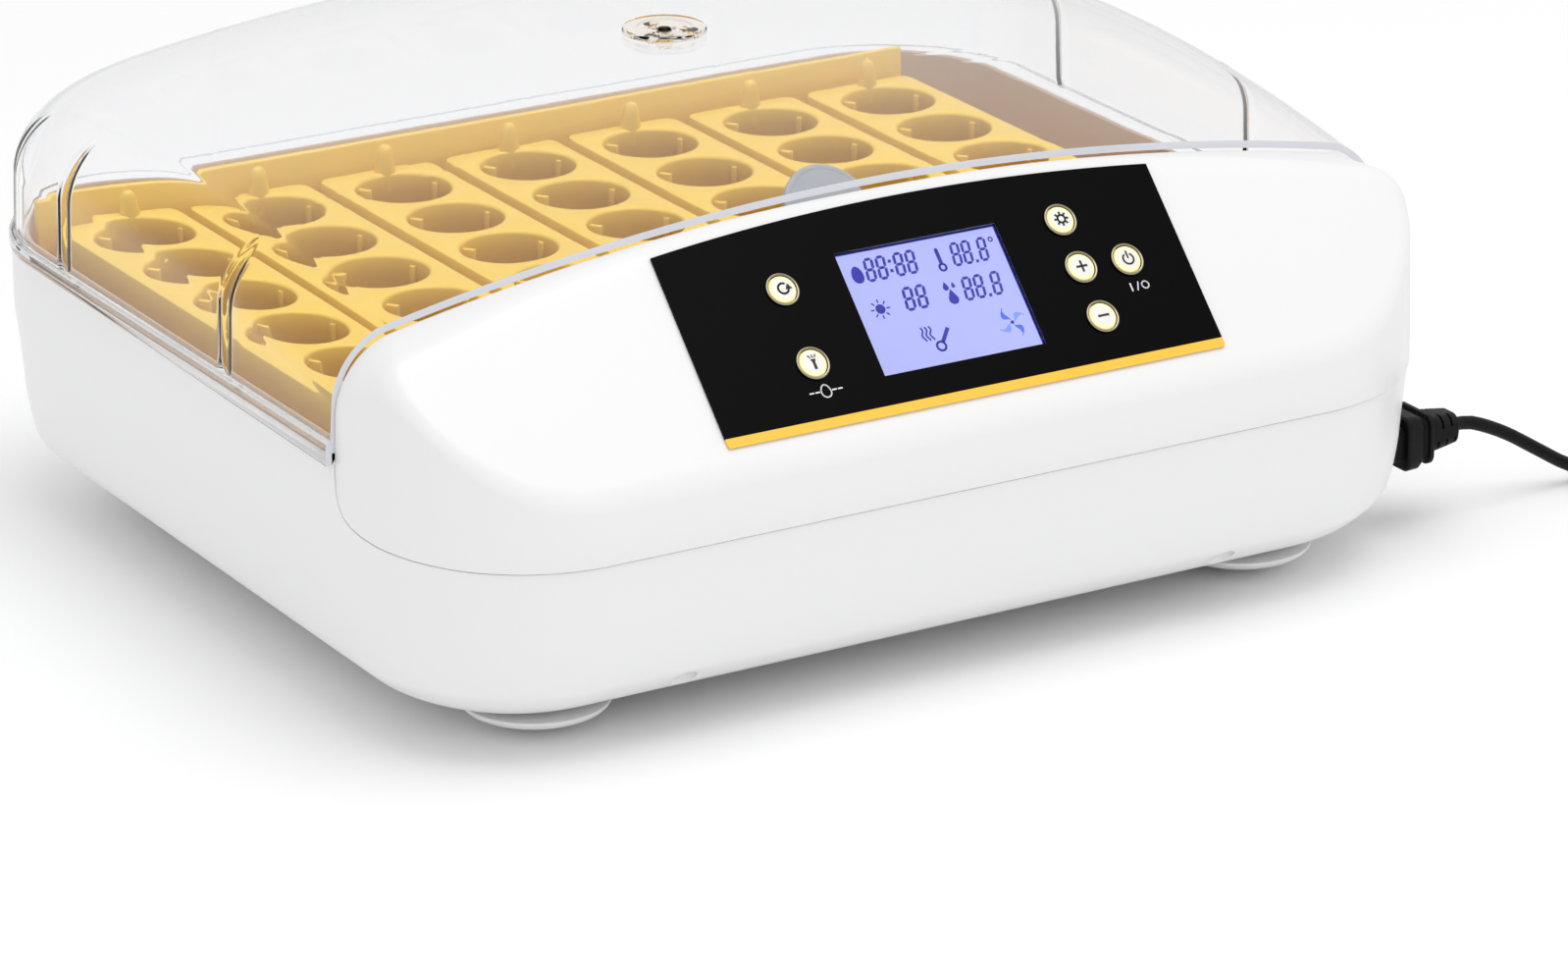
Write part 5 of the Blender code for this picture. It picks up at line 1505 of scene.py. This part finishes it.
class INCUBATOR_OT_tray(bpy.types.Operator):
    """Egg tray: seven strips of six round cells in a sliding frame, and its rack"""
    bl_idname = "incubator.tray"
    bl_label = "Egg tray"

    def execute(self, context):
        yellow = tray_finish()
        strip = self.strip()
        pitch = ROW_2_LOW.x - ROW_LOW.x
        first = (ROW_LOW.x + ROW_HIGH.x) / 2
        spots = [(first + i * pitch, 0, 0) for i in range(ROWS)]
        rows = repeated("egg_rows", strip, spots, yellow)
        finish_piece(rows, None, "tray", [f"egg_row_{i + 1}" for i in range(ROWS)],
                     sharp=40)
        softened("tray_rim", "tray_frame", 0.9 * MM, yellow, "tray")
        softened("turning_rack", "tray_rack", 0.2 * MM, yellow, "tray")
        return {"FINISHED"}

    def strip(self):
        """One strip about x = 0, its cells from the back to the front."""
        half, top, bottom = (ROW_HIGH.x - ROW_LOW.x) / 2, 128.2 * MM, ROW_LOW.z
        back, front = ROW_HIGH.y, ROW_LOW.y
        pitch, count, corner, edge = CELL_PITCH * MM, CELLS, 6 * MM, 1.2 * MM
        hole, rim = sizes().cell_radius, sizes().rim_round
        across, along = 18, 16
        work = bmesh.new()
        core_x, core_back, core_front = half - corner, back - corner, front + corner

        def outline_point(point, inset):
            x, y = point
            on_side = abs(x) > half - edge - 1e-7
            on_end = y > back - edge - 1e-7 or y < front + edge + 1e-7
            if not (on_side or on_end):
                return x, y
            cx = min(max(x, -core_x), core_x)
            cy = min(max(y, core_front), core_back)
            dx, dy = x - cx, y - cy
            length = math.hypot(dx, dy)
            return cx + dx / length * (corner - inset), cy + dy / length * (corner - inset)

        def loop(points, z):
            return [work.verts.new((x, y, z)) for x, y in points]

        def bridge(one, two, closed=True):
            for i in range(len(one) if closed else len(one) - 1):
                j = (i + 1) % len(one)
                work.faces.new((one[i], one[j], two[j], two[i]))

        sides = []
        for cell in range(count):
            centre = ROW_LAST_Y + (count - 1 - cell) * pitch
            high = back - edge if cell == 0 else centre + pitch / 2
            low = front + edge if cell == count - 1 else centre - pitch / 2
            wide = half - edge
            square = [(-wide + 2 * wide * i / across, low) for i in range(across)]
            square += [(wide, low + (high - low) * i / along) for i in range(along)]
            square += [(wide - 2 * wide * i / across, high) for i in range(across)]
            square += [(-wide, high - (high - low) * i / along) for i in range(along)]
            angles = [math.atan2(y - centre, x) for x, y in square]
            rings = [(hole + rim, top), (hole + rim * 0.5, top - rim * 0.14),
                     (hole + rim * 0.16, top - rim * 0.45),
                     (hole, top - rim), (hole + 0.2 * MM, top - 8 * MM), (hole + rim * 0.95, bottom)]
            circles = [loop([(r * math.cos(a), centre + r * math.sin(a)) for a in angles], z)
                       for r, z in rings]
            upper = loop([outline_point(p, edge) for p in square], top)
            lower = loop([outline_point(p, 0) for p in square], bottom)
            bridge(upper, circles[0])
            for one, two in zip(circles, circles[1:]):
                bridge(one, two)
            bridge(circles[-1], lower)
            sides.append((square, cell))
        for square, cell in sides:
            line = square[across:across + along + 1]
            other = square[2 * across + along:] + [square[0]]
            parts = [line, other]
            if cell == 0:
                parts = [line + square[across + along + 1:2 * across + along] + other]
            if cell == count - 1:
                parts = [other + square[1:across] + line]
            for part in parts:
                levels = [loop([outline_point(p, inset) for p in part], z)
                          for inset, z in ((edge, top), (edge * 0.3, top - edge * 0.3), (0, top - edge),
                                           (0, bottom))]
                for one, two in zip(levels, levels[1:]):
                    bridge(one, two, closed=False)
        bmesh.ops.remove_doubles(work, verts=work.verts, dist=0.001 * MM)
        bmesh.ops.recalc_face_normals(work, faces=work.faces)
        mesh = bpy.data.meshes.new("strip")
        work.to_mesh(mesh)
        work.free()
        strip = shape("strip", mesh)
        extras = []
        for cell in range(count):
            centre = ROW_LAST_Y + cell * pitch
            for angle, reach in ((128, 6.0), (20, 2.0)):
                fin = block("fin", (-0.8 * MM, -1.3 * MM, 0), (reach * MM, 1.3 * MM, 1 * MM))
                turn = Matrix.Rotation(math.radians(angle) + math.pi, 4, "Z")
                spot = Vector(((hole + 0.7 * MM) * math.cos(math.radians(angle)),
                               centre + (hole + 0.7 * MM) * math.sin(math.radians(angle)), 0))
                for vert in fin.data.vertices:
                    z = bottom + 0.6 * MM if vert.co.z < 0.5 * MM else top - 3.2 * MM
                    moved = turn @ Vector((vert.co.x, vert.co.y, 0))
                    vert.co = (spot.x + moved.x, spot.y + moved.y, z)
                extras.append(bevel(fin, 0.35 * MM))
        rings = []
        for z, across_half, along_half in ((-8, 5.0, 4.0), (0, 4.8, 3.8), (4, 4.3, 3.4), (8, 3.7, 2.9),
                                           (10.4, 3.0, 2.4), (11.6, 1.9, 1.6), (12.1, 0.7, 0.6)):
            rings.append([Vector((4 * MM + across_half * MM * math.cos(k * math.pi / 12),
                                  back - 4.4 * MM + along_half * MM * math.sin(k * math.pi / 12),
                                  top + z * MM))
                          for k in range(24)])
        extras.append(loft("peg", rings))
        return join_meshes(strip, extras)


class INCUBATOR_OT_fittings(bpy.types.Operator):
    """Four rubber feet and the four case screws"""
    bl_idname = "incubator.fittings"
    bl_label = "Feet and screws"

    def execute(self, context):
        foot = turned("foot", rounded_profile([
            (0, 0, 0), (6, 0, 2), (15, 2.2, 3), (24.5, 5.4, 3), (29.4, 7.6, 1.4), (31, 9.4, 0.6),
            (31, 10.7, 0.3),
            (0, 10.7, 0)]), 72)
        spots = [(x, y, 0) for x in (-FOOT_X, FOOT_X) for y in (FOOT_FRONT_Y, FOOT_BACK_Y)]
        feet = repeated("rubber_feet", foot, spots, white_finish())
        finish_piece(feet, None, "housing",
                     [f"foot_{end}_{side}" for end in ("front", "back") for side in ("left", "right")])
        screw = turned("screw", rounded_profile([
            (0, 0.9, 0), (1.2, 0.5, 0), (1.3, 0, 0), (2.6, 0, 0.6), (3.8, 1, 0.4), (3.8, 2.6, 0),
            (1.5, 2.6, 0),
            (1.5, 12.5, 0.2), (0, 13.5, 0)]), 32)
        spots = [(x, y, SCREW_SEAT) for x in (-SCREW_X, SCREW_X) for y in (SCREW_FRONT_Y, SCREW_BACK_Y)]
        screws = repeated("case_screws", screw, spots, steel_finish())
        finish_piece(screws, None, "housing",
                     [f"case_screw_{end}_{side}" for end in ("front",
                                                             "back") for side in ("left", "right")])
        return {"FINISHED"}


class INCUBATOR_OT_candler(bpy.types.Operator):
    """Soft round pad of the candling lamp and its bracket"""
    bl_idname = "incubator.candler"
    bl_label = "Candling lamp"

    def execute(self, context):
        place = Matrix.Translation((-10 * MM, -119.8 * MM, 178.6 * MM)) @ Matrix.Rotation(SLOPE, 4, "X")
        profile = rounded_profile([
            (0, -7, 0), (17, -7, 1.2), (19.5, -3, 0.8), (19.5, -0.6, 0.5), (18.6, 0, 0.5),
            (17.4, -0.1, 0.3),
            (16.8, -0.3, 0.4), (0, -0.3, 0)])
        pad = turned("candling_pad", profile, 72, place)
        grey = moulded("pad grey", (0.36, 0.38, 0.40), tint=(0.30, 0.32, 0.34), roughness=0.55,
                       grain=1500,
                       depth=0.05, drift=0.3)
        finish_piece(pad, [grey], "housing", ["candler_cup"])
        softened("candling_arm", "candler_bracket", 0.5 * MM, white_finish(), "housing")
        return {"FINISHED"}


class INCUBATOR_OT_works(bpy.types.Operator):
    """Motor, fan, heater, probe, boards and inlet inside the console"""
    bl_idname = "incubator.works"
    bl_label = "Inside works"

    def execute(self, context):
        steel, nylon, black, green = steel_finish(), nylon_finish(), black_finish(), board_finish()
        works = [  # name, node, rounding in mm, finish, body, slot
            ("geared_motor", "turn_motor", 0.5, steel, "housing", "zinc_steel"),
            ("motor_plate", "motor_bracket", 0.3, steel, "housing", "zinc_steel"),
            ("drive_pinion", "turn_pinion", 0.2, nylon, "pinion", "white_nylon"),
            ("display_board", "control_board", 0.15, green, "housing", "circuit_board"),
            ("mains_board", "power_board", 0.3, green, "housing", "circuit_board"),
            ("fan_housing", "fan_frame", 0.3, black, "housing", "black_plastic"),
            ("fan_rotor", "fan_impeller", 0.15, black, "fan", "black_plastic"),
            ("heater_block", "heater", 0.2, steel, "housing", "zinc_steel"),
            ("air_probe", "sensor_probe", 0.4, nylon, "housing", "white_nylon"),
            ("mains_inlet", "power_inlet", 0.3, black, "housing", "black_plastic"),
        ]
        for name, node, width, finish, body, slot_name in works:
            softened(name, node, width * MM, finish, body)
        return {"FINISHED"}


class INCUBATOR_PT_panel(bpy.types.Panel):
    """Every step of the build"""
    bl_idname = "INCUBATOR_PT_panel"
    bl_label = "Egg incubator"
    bl_space_type = "VIEW_3D"
    bl_region_type = "UI"
    bl_category = "Incubator"

    def draw(self, context):
        for operator in OPERATORS:
            self.layout.operator(operator.bl_idname)
        for group in (context.scene.incubator_sizes, context.scene.incubator_colours):
            for name in group.bl_rna.properties.keys():
                if name not in ("rna_type", "name"):
                    self.layout.prop(group, name)


OPERATORS = (INCUBATOR_OT_stage, INCUBATOR_OT_lead, INCUBATOR_OT_base, INCUBATOR_OT_console,
             INCUBATOR_OT_panel, INCUBATOR_OT_buttons, INCUBATOR_OT_lid, INCUBATOR_OT_vent,
             INCUBATOR_OT_tub, INCUBATOR_OT_tray, INCUBATOR_OT_fittings, INCUBATOR_OT_candler,
             INCUBATOR_OT_works)
CLASSES = (IncubatorSizes, IncubatorColours) + OPERATORS + (INCUBATOR_PT_panel,)


def register():
    for item in CLASSES:
        bpy.utils.register_class(item)
    bpy.types.Scene.incubator_sizes = bpy.props.PointerProperty(type=IncubatorSizes)
    bpy.types.Scene.incubator_colours = bpy.props.PointerProperty(type=IncubatorColours)


def unregister():
    del bpy.types.Scene.incubator_colours
    del bpy.types.Scene.incubator_sizes
    for item in reversed(CLASSES):
        bpy.utils.unregister_class(item)


def main():
    register()
    bpy.ops.incubator.stage()
    bpy.ops.incubator.lead()
    bpy.ops.incubator.base()
    bpy.ops.incubator.console()
    bpy.ops.incubator.panel()
    bpy.ops.incubator.buttons()
    bpy.ops.incubator.lid()
    bpy.ops.incubator.vent()
    bpy.ops.incubator.tub()
    bpy.ops.incubator.tray()
    bpy.ops.incubator.fittings()
    bpy.ops.incubator.candler()
    bpy.ops.incubator.works()
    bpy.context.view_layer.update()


if __name__ == "__main__":
    main()
